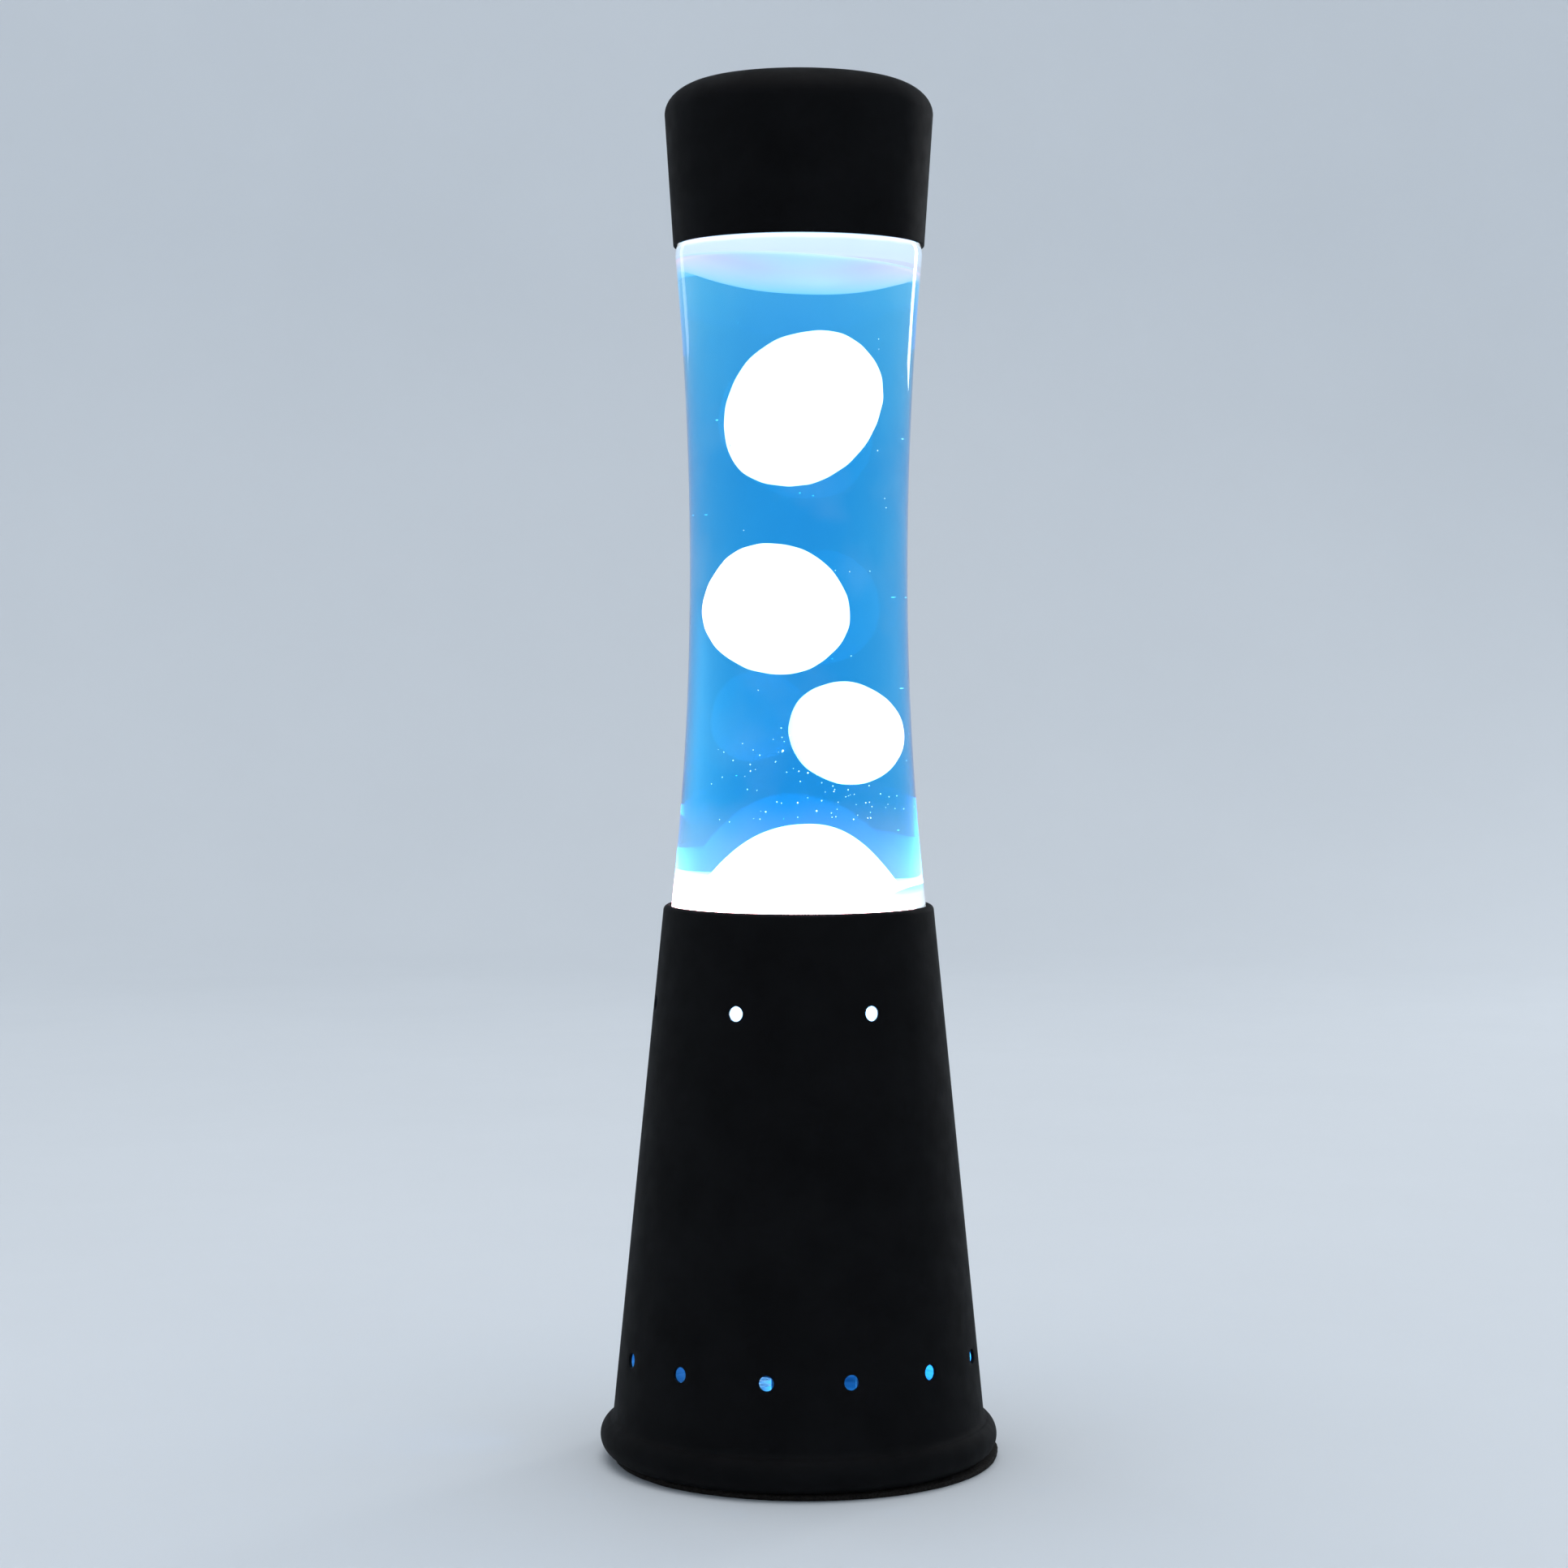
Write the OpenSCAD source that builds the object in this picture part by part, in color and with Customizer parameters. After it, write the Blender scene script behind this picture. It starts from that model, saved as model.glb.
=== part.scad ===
// Lava lamp: a spun metal base and cap, a waisted glass bottle of coloured liquid with rising wax,
// and a small reflector bulb that heats and lights the bottle from below.
// Millimetres, +Z up. The lamp stands on z = 0 with its axis on the Z axis, and its front faces -Y.

/* [Base] */
// Largest radius, at the rolled foot bead
foot_r = 58.1; // [57.9:0.1:58.4]
// Radius that the straight cone would have at the floor
cone_floor_r = 55.62; // [55.5:0.02:55.74]
// Radius that the cone loses for each millimetre of height
cone_slope = 0.1005; // [0.1:0.0005:0.101]
// Height of the top of the rim
rim_z = 162.1; // [161.6:0.1:162.4]
// Thickness of the spun sheet
sheet_t = 1.0; // [0.8:0.1:1.0]
// Outer radius of the rolled foot bead
bead_r = 5.5; // [5.3:0.1:5.7]
// Diameter of the round vents
vent_d = 4.3; // [3.5:0.1:5]
// Thickness of the foam foot ring
pad_t = 1.5; // [1.5:0.1:2]

/* [Bottle] */
// Height of the underside of the bottle
bottle_z = 140; // [139.5:0.5:141]
// Outer radius at the narrow waist
waist_r = 31.67; // [31.2:0.01:32.5]
// Height of the waist
waist_z = 260; // [255:1:265]
// Outer radius at the level of the base rim
low_glass_r = 37.2; // [36.8:0.1:37.2]
// Outer radius at the shoulder
shoulder_r = 35.75; // [35.4:0.05:35.8]
// Thickness of the glass
glass_t = 2.2; // [1.8:0.1:2.4]
// Height of the surface of the liquid
liquid_z = 353; // [351.5:0.5:353.5]

/* [Cap] */
// Overall height of the lamp
total_h = 400; // [399:0.5:402]
// Height of the lower edge of the cap
cap_z = 352.8; // [352.6:0.1:353.4]
// Outer radius at the lower edge of the cap
cap_low_r = 36.35; // [36.3:0.05:36.6]
// Largest radius of the cap
cap_top_r = 38.8; // [38.5:0.1:39.2]
// Thickness of the cap sheet
cap_t = 0.7; // [0.5:0.1:0.7]

/* [Bulb] */
// Height of the foot contact of the bulb
bulb_z = 58; // [58:0.1:58.3]
// Largest diameter of the reflector bulb
bulb_d = 39; // [37:0.5:40]
// Overall length of the bulb
bulb_l = 67; // [66:0.5:68]

/* [Hidden] */
$fn = 64;
spin_fn = 96;

// Small gap between pieces that touch face to face
gap = 0.05;

// Base shell
cone_a = atan(cone_slope);
bead_x = foot_r - bead_r;
bead_z = pad_t + bead_r;
plate_t = 1.2;
lip_z = pad_t + plate_t;
lip_r = 42;
foot_fillet_r = 2.5;
rim_edge_r = 1.6;
rim_inner_r = 37.45;
rim_drop = 0.2;
bead_turn = cone_a + acos((cone_floor_r * cos(cone_a) + foot_fillet_r - bead_x * cos(cone_a)
                           - bead_z * sin(cone_a)) / (bead_r + foot_fillet_r));
fillet_x = bead_x + (bead_r + foot_fillet_r) * cos(bead_turn);
fillet_z = bead_z + (bead_r + foot_fillet_r) * sin(bead_turn);
rim_arc_z = rim_z - rim_edge_r;
rim_arc_x = (cone_floor_r * cos(cone_a) - rim_edge_r - rim_arc_z * sin(cone_a)) / cos(cone_a);
wall_inset = sheet_t / cos(cone_a);

// Vents, punched a little unevenly: heights, and turns from the front towards +X
low_vent_z = 32.2;
low_vent_turns = [-66.8, -40.1, -10.2, 16.3, 45.3, 73.2, 104.6, 136.1, 167.5, 198.9, 230.3, 261.8];
high_vent_z = 134;
high_vent_turns = [-80, -25.3, 29.4, 92, 154.7, 217.4];

// Foam foot ring, stuck on a little off centre
pad_outer_r = 56;
pad_inner_r = 42.4;
pad_shift = [1.8, 0.8, 0];

// Bottom plate and its fixings
plate_r = 48.9;
plate_screw_r = 45.5;
plate_screw_count = 4;
plate_screw_d = 3;
plate_head_d = 5.5;
plate_head_t = 1.2;
nut_across = 5.5;
nut_t = 2.4;

// Ring that carries the bottle
seat_t = 1;
gasket_t = 1;
seat_z = bottle_z - gasket_t - seat_t;
seat_inner_r = 26.5;
seat_skirt = 1.4;

// Cord inlet at the back
cord_z = 21;
cord_d = 6.2;
cord_hole_r = 4.25;
grommet_flange_r = 7;
grommet_y = 49.2;
grommet_l = 6.8;

// Lamp holder on its bracket
bracket_z = bulb_z - 13;
bracket_t = 1.2;
bracket_half = 18.2;
bracket_foot = 29;
bracket_w = 16;
bracket_bend_r = 3;
rivet_x = 24;
rivet_y = 4.5;
rivet_r = 1.6;
rivet_hole_r = 1.65;
nipple_r = 5;
nipple_bore_r = 3.5;
nipple_l = 10.2;
holder_nut_across = 14;
holder_nut_t = 2.7;
contact_w = 5;
holder_floor_z = bulb_z - 4;
holder_r = 12.2;
holder_foot_r = 13.5;
shell_bore_r = 7.55;
holder_top_z = bulb_z + 24;
holder_foot_h = 8;
holder_step = 3;
holder_mouth_r = 9.3;
holder_mouth_h = 5.5;
holder_base_h = 5;
thread_pitch = 2.82;
thread_turns = 5;
thread_mid_r = 6.6;
thread_depth = 0.3;
thread_gap = 0.2;
thread_z = bulb_z + 4;
shell_sheet_t = 0.3;
bulb_cap_sheet_t = 0.4;

// Terminal block and leads
block_y = 30.9;
block_w = 31;
block_d = 16;
pole_step = 11;
pole_z = 8.5;
block_base_h = 4.3;
pole_r = 3.6;
pole_bore_r = 2.5;
post_y = 4;
post_r = 2.9;
post_bore_r = 1.9;
tube_r = 2.45;
tube_bore_r = 1.5;
tube_l = 13;
small_screw_r = 1.2;
small_head_r = 1.8;
slot_w = 0.6;
block_hole_r = 1.3;
earth_hole_r = 2.05;
earth_screw_r = 2;
lead_r = 1.1;
earth_y = 11;
tag_r = 4;
tag_t = 0.8;
barrel_r = 1.6;
barrel_z = lip_z + barrel_r;
wire_sides = 10;
wire_side = [0.8, 0.1, -0.6];

// Bulb glass
bulb_top_z = bulb_z + bulb_l;
bulb_neck_r = 8.2;
bulb_neck_z = bulb_z + 28;
bulb_edge_z = bulb_top_z - 10;
bulb_glass_t = 0.8;
bulb_collar_r = 8.7;
bulb_collar_z = bulb_z + 23.4;
stem_foot_z = bulb_z + 24.5;
stem_top_z = bulb_z + 40;
filament_r = 0.45;
support_wire_r = 0.35;
filament_z = bulb_z + 50;
filament_half = 5;

// Bottle: the waisted part runs from bend_z to shoulder_z
bend_z = 161;
shoulder_z = 350;
heel_r = 6;
punt_r = 26;
punt_h = 2;
floor_t = 3.7;
shoulder_arc_r = 9;
shoulder_turn = 70;
shoulder_start = 10;
neck_r = 12.6;
neck_arc_r = 7;
neck_rise = 19.6;
neck_wall = 1.9;
neck_bore_r = 8.5;
finish_r = 13.3;
finish_z = 392;
finish_h = 5.4;
finish_bevel = 0.8;
mouth_depth = 10;
punt_slope = 8;
locking_edge = 1;
waist_steps = 12;
waist_join = 9;

// Crown cap
crown_t = 0.3;
liner_t = 0.6;
crown_top_z = finish_z + liner_t + crown_t;
crown_flutes = 21;
flute_r = 0.9;

// Room between the glass and what it holds
glass_room = 0.15;

// Wax at the bottom of the bottle, and the wire coil in it
pool_z = 168;
dome_top_z = 185.6;
dome_r = 22;
coil_ring_r = 24;
coil_wire_r = 1.6;
coil_z = 147;

// Wax drops: [x, y, z, half length, half width, lean towards +X, travel down, travel up]
drop_top = [0.8, 0, 306, 23.2, 16.7, 17, 6, 8];
drop_middle = [-5.3, -2, 248, 18.9, 16.4, -9, 3, 8];
drop_low = [10.3, 2, 211.7, 15.1, 12.4, -11, 8, 3];
drop_gap = 0.3;

// Rounded top of the cap
cap_corner_w = 14;
cap_corner_h = 9.5;
cap_pad_r = 15;

// Points along an arc, in the plane of radius and height
function arc_points(x, z, r, from, to, steps) =
    [for (i = [0:steps]) let (a = from + (to - from) * i / steps) [x + r * cos(a), z + r * sin(a)]];

function backwards(points) = [for (i = [len(points) - 1:-1:0]) points[i]];

// Points of a spun outline: the outer line, then the inner line back again
function sheet_outline(outer, inner) = concat(outer, backwards(inner));

// Line of the base shell, from the lip under the foot to the rim, moved in by a part of the sheet
function shell_line(inset) =
    let (bead_start = -180 + asin((bead_z - lip_z - inset) / (bead_r - inset)))
    concat([[lip_r, lip_z + inset]],
           arc_points(bead_x, bead_z, bead_r - inset, bead_start, bead_turn, 16),
           arc_points(fillet_x, fillet_z, foot_fillet_r + inset, bead_turn + 180, cone_a + 180, 5),
           arc_points(rim_arc_x, rim_arc_z, rim_edge_r - inset, cone_a, 90, 6),
           [[rim_inner_r, rim_z - rim_drop - inset]]);

function cone_r(z) = cone_floor_r - cone_slope * z;

// Outer radius of the glass at a height on its waisted part
function glass_r(z) =
    z < waist_z ? waist_r + (low_glass_r - waist_r) * pow((waist_z - z) / (waist_z - bend_z), 2)
                : waist_r + (shoulder_r - waist_r) * pow((z - waist_z) / (shoulder_z - waist_z), 2);

// Inner radius of the bottle, from its heel up to its shoulder
function inner_glass_r(z) =
    z > shoulder_z ? shoulder_r - shoulder_arc_r
                     + sqrt(pow(shoulder_arc_r - glass_t, 2) - pow(z - shoulder_z, 2))
                   : glass_r(max(z, bend_z)) - glass_t;

// Points of the waisted part between two heights, moved in from the outside of the glass
function waist_line(z_from, z_to, steps, inset) =
    [for (i = [0:steps]) let (z = z_from + (z_to - z_from) * i / steps) [glass_r(z) - inset, z]];

// Line of the bottle from its heel to its shoulder and neck, moved in by the glass
function bottle_line(inset) =
    concat(arc_points(low_glass_r - heel_r, bottle_z + (inset > 0 ? floor_t + heel_r - inset : heel_r),
                      heel_r - inset, -90, 0, 6),
           waist_line(bend_z, waist_z, waist_steps, inset),
           waist_line(waist_z + waist_join, shoulder_z, waist_steps - 3, inset),
           arc_points(shoulder_r - shoulder_arc_r, shoulder_z, shoulder_arc_r - inset,
                      shoulder_start, shoulder_turn, 6));

function bulb_flare_r(z) =
    bulb_neck_r + (bulb_d / 2 - bulb_neck_r)
                  * pow(sin(90 * (z - bulb_neck_z) / (bulb_edge_z - bulb_neck_z)), 0.8);

function bulb_line(inset) =
    concat([[bulb_neck_r - inset, bulb_z + 22]],
           [for (i = [0:10]) let (z = bulb_neck_z + (bulb_edge_z - bulb_neck_z) * i / 10)
                             [bulb_flare_r(z) - inset, z]],
           [for (a = [10:10:90]) [(bulb_d / 2 - inset) * cos(a),
                                  bulb_edge_z + (bulb_top_z - bulb_edge_z - inset) * sin(a)]]);

// Ring-shaped thread, as radii that rise and fall with the pitch
function thread_line(r) =
    [for (i = [0:8 * thread_turns]) let (z = thread_pitch * i / 8)
                                    [r + thread_depth * sin(360 * i / 8), thread_z + z]];

function cap_line(inset) =
    concat([[cap_low_r - inset, cap_z]],
           [for (a = [0:7.5:90]) [cap_top_r - cap_corner_w + (cap_corner_w - inset) * cos(a),
                                  total_h - cap_corner_h + (cap_corner_h - inset) * sin(a)]],
           [[0, total_h - inset]]);

module spun(points) {
    rotate_extrude($fn = spin_fn)
        polygon(points);
}

module rod(from, to, r) {
    run = to - from;
    translate(from)
        rotate([0, acos(run.z / norm(run)), atan2(run.y, run.x)])
            cylinder(r = r, h = norm(run));
}

// A line of points with its corners cut twice, so that it bends smoothly
function cut_corners(points, rounds) =
    rounds == 0 ? points
                : cut_corners(concat([points[0]],
                                     [for (i = [0:len(points) - 2], s = [0.25, 0.75])
                                         points[i] * (1 - s) + points[i + 1] * s],
                                     [points[len(points) - 1]]), rounds - 1);

function unit(v) = v / norm(v);

// A bent wire swept along its route
module bent_wire(route, r) {
    path = cut_corners(route, 2);
    last = len(path) - 1;
    rings = [for (i = [0:last])
                let (ahead = unit(path[min(i + 1, last)] - path[max(i - 1, 0)]),
                     across = unit(cross(ahead, wire_side)),
                     up = cross(ahead, across))
                for (j = [0:wire_sides - 1])
                    let (a = 360 * j / wire_sides)
                    path[i] + r * (cos(a) * across + sin(a) * up)];
    walls = [for (i = [0:last - 1], j = [0:wire_sides - 1])
                let (k = (j + 1) % wire_sides, here = i * wire_sides, next = here + wire_sides)
                [here + j, next + j, next + k, here + k]];
    polyhedron(points = rings,
               faces = concat([[for (j = [0:wire_sides - 1]) j]], walls,
                              [[for (j = [wire_sides - 1:-1:0]) last * wire_sides + j]]));
}

module around(count, first = 0) {
    for (i = [0:count - 1]) {
        rotate([0, 0, first + 360 * i / count])
            children();
    }
}

module vent_ring(z, turns) {
    for (turn = turns) {
        rotate([0, 0, turn])
            translate([0, -30, z])
                rotate([90, 0, 0])
                    cylinder(d = vent_d, h = 40);
    }
}

// Cylinder along +Y at the cord inlet
module inlet_cylinder(r, y, length) {
    translate([0, y, cord_z])
        rotate([-90, 0, 0])
            cylinder(r = r, h = length);
}

module base_shell() {
    color("#161618")
        difference() {
            spun(sheet_outline(shell_line(0), shell_line(sheet_t)));
            vent_ring(low_vent_z, low_vent_turns);
            vent_ring(high_vent_z, high_vent_turns);
            inlet_cylinder(cord_hole_r, 40, 20);
            around(plate_screw_count, 45)
                translate([plate_screw_r, 0, 0])
                    cylinder(d = plate_screw_d + 0.2, h = 5);
        }
}

module foot_pad() {
    color("#1b1b1d")
        difference() {
            translate(pad_shift)
                difference() {
                    cylinder(r = pad_outer_r, h = pad_t);
                    translate([0, 0, -1])
                        cylinder(r = pad_inner_r, h = pad_t + 2);
                }
            around(plate_screw_count, 45)
                translate([plate_screw_r, 0, -1])
                    cylinder(d = plate_head_d + 1.2, h = pad_t + 2);
        }
}

module bottom_plate() {
    color("#8d9094")
        difference() {
            translate([0, 0, pad_t])
                cylinder(r = plate_r, h = plate_t);
            around(plate_screw_count, 45)
                translate([plate_screw_r, 0, 0])
                    cylinder(d = plate_screw_d + 0.2, h = 5);
            for (x = [-rivet_x, rivet_x], y = [-rivet_y, rivet_y]) {
                translate([x, y, 0])
                    cylinder(r = rivet_hole_r, h = 5);
            }
            for (x = [-pole_step / 2, pole_step / 2]) {
                translate([x, block_y, 0])
                    cylinder(r = block_hole_r, h = 5);
            }
            translate([0, earth_y, 0])
                cylinder(r = earth_hole_r, h = 5);
        }
}

module plate_screws() {
    color("silver")
        around(plate_screw_count, 45)
            translate([plate_screw_r, 0, 0])
                difference() {
                    union() {
                        translate([0, 0, pad_t - plate_head_t])
                            cylinder(d = plate_head_d, h = plate_head_t);
                        translate([0, 0, pad_t - gap])
                            cylinder(d = plate_screw_d, h = 6 + gap);
                    }
                    for (a = [0, 90]) {
                        rotate([0, 0, a])
                            translate([-1.6, -0.35, 0])
                                cube([3.2, 0.7, pad_t - plate_head_t + 0.7]);
                    }
                }
}

module plate_nuts() {
    color("silver")
        around(plate_screw_count, 45)
            translate([plate_screw_r, 0, lip_z + sheet_t])
                difference() {
                    cylinder(r = nut_across / sqrt(3), h = nut_t, $fn = 6);
                    translate([0, 0, -1])
                        cylinder(d = plate_screw_d + 0.06, h = nut_t + 2);
                }
}

module bottle_seat() {
    wall = wall_inset + gap;
    top = seat_z + seat_t;
    low = seat_z - seat_skirt;
    color("#9a9da1")
        spun([[seat_inner_r, seat_z], [cone_r(seat_z) - wall - 1, seat_z],
              [cone_r(low) - wall - 1, low], [cone_r(low) - wall, low],
              [cone_r(top) - wall, top], [seat_inner_r, top]]);
}

module seat_gasket() {
    top = seat_z + seat_t;
    color("#3a3a3c")
        spun([[seat_inner_r + 0.8, top], [low_glass_r - 1, top],
              [low_glass_r - 1, bottle_z], [seat_inner_r + 0.8, bottle_z]]);
}

module cord_grommet() {
    low = cord_z - grommet_flange_r - 1;
    high = cord_z + grommet_flange_r + 1;
    color("#202022")
        difference() {
            inlet_cylinder(grommet_flange_r, grommet_y, grommet_l);
            inlet_cylinder(cord_d / 2, grommet_y - 1, grommet_l + 2);
            difference() {
                spun([[cone_r(low) - wall_inset - gap, low], [cone_r(low) + gap, low],
                      [cone_r(high) + gap, high], [cone_r(high) - wall_inset - gap, high]]);
                inlet_cylinder(cord_hole_r - gap, 40, 20);
            }
        }
}

// Outline of the bracket strap, seen from the front and moved in by its thickness
function strap_line(inset) =
    let (r_out = bracket_bend_r - inset, r_in = bracket_bend_r - bracket_t + inset,
         foot_x = bracket_half + bracket_bend_r - bracket_t,
         foot_z = lip_z + bracket_bend_r,
         side = concat([[bracket_foot, lip_z + bracket_t - inset]],
                       arc_points(foot_x, foot_z, r_in, -90, -180, 4),
                       arc_points(bracket_half - bracket_bend_r, bracket_z - bracket_bend_r,
                                  r_out, 0, 90, 4)))
    concat(side, [for (p = backwards(side)) [-p[0], p[1]]]);

module holder_bracket() {
    color("#a3a6aa")
        difference() {
            translate([0, bracket_w / 2, 0])
                rotate([90, 0, 0])
                    linear_extrude(height = bracket_w)
                        polygon(concat(strap_line(0), backwards(strap_line(bracket_t))));
            cylinder(r = nipple_r + 0.1, h = 60);
            for (x = [-rivet_x, rivet_x], y = [-rivet_y, rivet_y]) {
                translate([x, y, 0])
                    cylinder(r = rivet_hole_r, h = 6);
            }
        }
}

module bracket_rivets() {
    color("silver")
        for (x = [-rivet_x, rivet_x], y = [-rivet_y, rivet_y]) {
            translate([x, y, 0])
                spun([[0, pad_t - 0.9], [3, pad_t - 0.7], [3.2, pad_t], [rivet_r, pad_t],
                      [rivet_r, lip_z + bracket_t], [2.6, lip_z + bracket_t],
                      [2.4, lip_z + bracket_t + 1], [0, lip_z + bracket_t + 1.3]]);
        }
}

module holder_body() {
    foot = bracket_z;
    color("#1c1a19")
        spun([[nipple_r + gap, foot], [holder_foot_r, foot], [holder_foot_r, foot + holder_foot_h],
              [holder_r, foot + holder_foot_h + holder_step],
              [holder_r, holder_top_z - 1], [holder_r - 1, holder_top_z],
              [holder_mouth_r + 0.3, holder_top_z], [holder_mouth_r, holder_top_z - 0.6],
              [holder_mouth_r, holder_top_z - holder_mouth_h],
              [shell_bore_r, holder_top_z - holder_mouth_h - 0.3], [shell_bore_r, holder_floor_z],
              [nipple_bore_r, holder_floor_z], [nipple_bore_r, foot + holder_base_h + gap],
              [nipple_r + gap, foot + holder_base_h + gap]]);
}

module holder_screw_shell() {
    inner_r = thread_mid_r + thread_gap;
    color("#c9a54e")
        spun(sheet_outline(thread_line(inner_r + shell_sheet_t), thread_line(inner_r)));
}

module holder_centre_contact() {
    z = holder_floor_z;
    color("#c9a54e")
        translate([0, contact_w / 2, 0])
            rotate([90, 0, 0])
                linear_extrude(height = contact_w)
                    polygon([[1.2, z], [7, z], [7, z + 2.4], [3, z + 3.9], [-2.2, z + 3.9],
                             [-2.2, z + 3.4], [2.9, z + 3.4], [6.5, z + 2.1], [6.5, z + 0.5],
                             [1.2, z + 0.5]]);
}

module holder_nipple() {
    color("#b9bcc0")
        difference() {
            translate([0, 0, bracket_z + holder_base_h - nipple_l])
                cylinder(r = nipple_r, h = nipple_l);
            cylinder(r = nipple_bore_r, h = 70);
        }
}

module holder_nut() {
    color("#b9bcc0")
        translate([0, 0, bracket_z - bracket_t - holder_nut_t])
            difference() {
                cylinder(r = holder_nut_across / sqrt(3), h = holder_nut_t, $fn = 6);
                translate([0, 0, -1])
                    cylinder(r = nipple_r + 0.03, h = 5);
            }
}

module terminal_block() {
    color("#e8e6dd")
        difference() {
            union() {
                translate([-block_w / 2, block_y - block_d / 2, lip_z])
                    cube([block_w, block_d, block_base_h]);
                for (x = [-pole_step, 0, pole_step]) {
                    translate([x, block_y + block_d / 2, pole_z])
                        rotate([90, 0, 0])
                            cylinder(r = pole_r, h = block_d);
                    for (y = [-post_y, post_y]) {
                        translate([x, block_y + y, pole_z])
                            cylinder(r = post_r, h = 6);
                    }
                }
            }
            for (x = [-pole_step, 0, pole_step]) {
                translate([x, block_y + block_d, pole_z])
                    rotate([90, 0, 0])
                        cylinder(r = pole_bore_r, h = 2 * block_d);
                for (y = [-post_y, post_y]) {
                    translate([x, block_y + y, pole_z])
                        cylinder(r = post_bore_r, h = 10);
                }
            }
            for (x = [-pole_step / 2, pole_step / 2]) {
                translate([x, block_y, 0])
                    cylinder(r = block_hole_r, h = 20);
            }
        }
}

module terminal_tubes() {
    color("#c9a54e")
        for (x = [-pole_step, 0, pole_step]) {
            translate([x, block_y, pole_z])
                difference() {
                    translate([0, tube_l / 2, 0])
                        rotate([90, 0, 0])
                            cylinder(r = tube_r, h = tube_l);
                    translate([0, tube_l / 2 + 1, 0])
                        rotate([90, 0, 0])
                            cylinder(r = tube_bore_r, h = tube_l + 2);
                    for (y = [-post_y, post_y]) {
                        translate([0, y, 0])
                            cylinder(r = small_screw_r + gap, h = 5);
                    }
                }
        }
}

module terminal_screws() {
    color("silver")
        for (x = [-pole_step, 0, pole_step], y = [-post_y, post_y]) {
            translate([x, block_y + y, pole_z])
                difference() {
                    union() {
                        translate([0, 0, 1.2])
                            cylinder(r = small_screw_r, h = 3);
                        translate([0, 0, 2.6])
                            cylinder(r = small_head_r, h = 2.4);
                    }
                    translate([-2, -slot_w / 2, 4.2])
                        cube([4, slot_w, 2]);
                }
        }
}

module block_screws() {
    top = lip_z + block_base_h;
    color("silver")
        for (x = [-pole_step / 2, pole_step / 2]) {
            translate([x, block_y, 0])
                difference() {
                    union() {
                        translate([0, 0, pad_t - 0.6])
                            cylinder(r = small_screw_r, h = top - pad_t + 0.7);
                        translate([0, 0, top])
                            cylinder(r = small_head_r, h = 1.4);
                    }
                    translate([-2, -slot_w / 2, top + 0.8])
                        cube([4, slot_w, 2]);
                }
        }
}

module lead_live() {
    color("#6b3f22")
        bent_wire([[pole_step, 28, pole_z], [pole_step, 20, pole_z], [8, 12, 13], [3.5, 4, 22],
                   [2.2, 0, 32], [2.2, 0, holder_floor_z - gap]], lead_r);
}

module lead_neutral() {
    color("#2f5fb0")
        bent_wire([[-pole_step, 28, pole_z], [-pole_step, 20, pole_z], [-8, 12, 13], [-3.5, 4, 22],
                   [-2.2, 0, 32], [-2.2, 0, holder_floor_z - 2], [-2.2, 0, holder_floor_z + 1],
                   [-6.3, 0, holder_floor_z + 3.4], [-6.3, 0, thread_z - 1]], lead_r);
}

module lead_earth() {
    color("#7f9a2c")
        bent_wire([[0, 28, pole_z], [0, 21.8, pole_z], [0, 20, barrel_z], [0, 16, barrel_z]],
                  lead_r);
}

module earth_tag() {
    color("#c8cacc")
        difference() {
            union() {
                translate([0, earth_y, lip_z])
                    cylinder(r = tag_r, h = tag_t);
                rod([0, earth_y + 3.4, barrel_z], [0, earth_y + 7.6, barrel_z], barrel_r);
            }
            translate([0, earth_y, 0])
                cylinder(r = earth_screw_r + 0.1, h = 10);
            translate([0, earth_y, lip_z + tag_t])
                cylinder(r = tag_r - 0.3, h = 10);
            rod([0, earth_y + 4.4, barrel_z], [0, earth_y + 12, barrel_z], lead_r + gap);
        }
}

module earth_screw() {
    color("#c9a54e")
        translate([0, earth_y, 0])
            difference() {
                union() {
                    translate([0, 0, pad_t - 0.7])
                        cylinder(r = earth_screw_r, h = 3);
                    translate([0, 0, lip_z + tag_t])
                        cylinder(r = tag_r - 0.5, h = 2.2);
                }
                for (a = [0, 90]) {
                    rotate([0, 0, a])
                        translate([-2.2, -0.45, lip_z + 1.8])
                            cube([4.4, 0.9, 2]);
                }
            }
}

module bulb_envelope() {
    color("#dfe6ee")
        spun(sheet_outline(bulb_line(0), bulb_line(bulb_glass_t)));
}

module bulb_screw_cap() {
    top = thread_z + thread_turns * thread_pitch;
    collar = bulb_neck_r + gap;
    color("#cfc9b4")
        spun(sheet_outline(concat(thread_line(thread_mid_r),
                                  [[bulb_collar_r, top + 1.4], [bulb_collar_r, bulb_collar_z]]),
                           concat(thread_line(thread_mid_r - bulb_cap_sheet_t), [[collar, top + 1.6],
                                                                    [collar, bulb_collar_z]])));
}

module bulb_insulator() {
    color("#141414")
        spun([[2, bulb_z + 1.2], [3.2, bulb_z + 1.2], [5.8, bulb_z + 4.4], [5.8, bulb_z + 5.5],
              [2, bulb_z + 5.5]]);
}

module bulb_contact() {
    color("#c8cacc")
        spun([[0, bulb_z], [2.2, bulb_z], [3.1, bulb_z + 0.5], [3.1, bulb_z + 1.2 - gap],
              [1.95, bulb_z + 1.2 - gap], [1.95, bulb_z + 5.5], [0, bulb_z + 5.5]]);
}

module bulb_stem() {
    color("#dfe6ee")
        spun([[0, stem_foot_z], [6.2, stem_foot_z], [5.8, stem_foot_z + 0.8], [3, bulb_neck_z],
              [2.3, stem_top_z], [0, stem_top_z]]);
}

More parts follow.
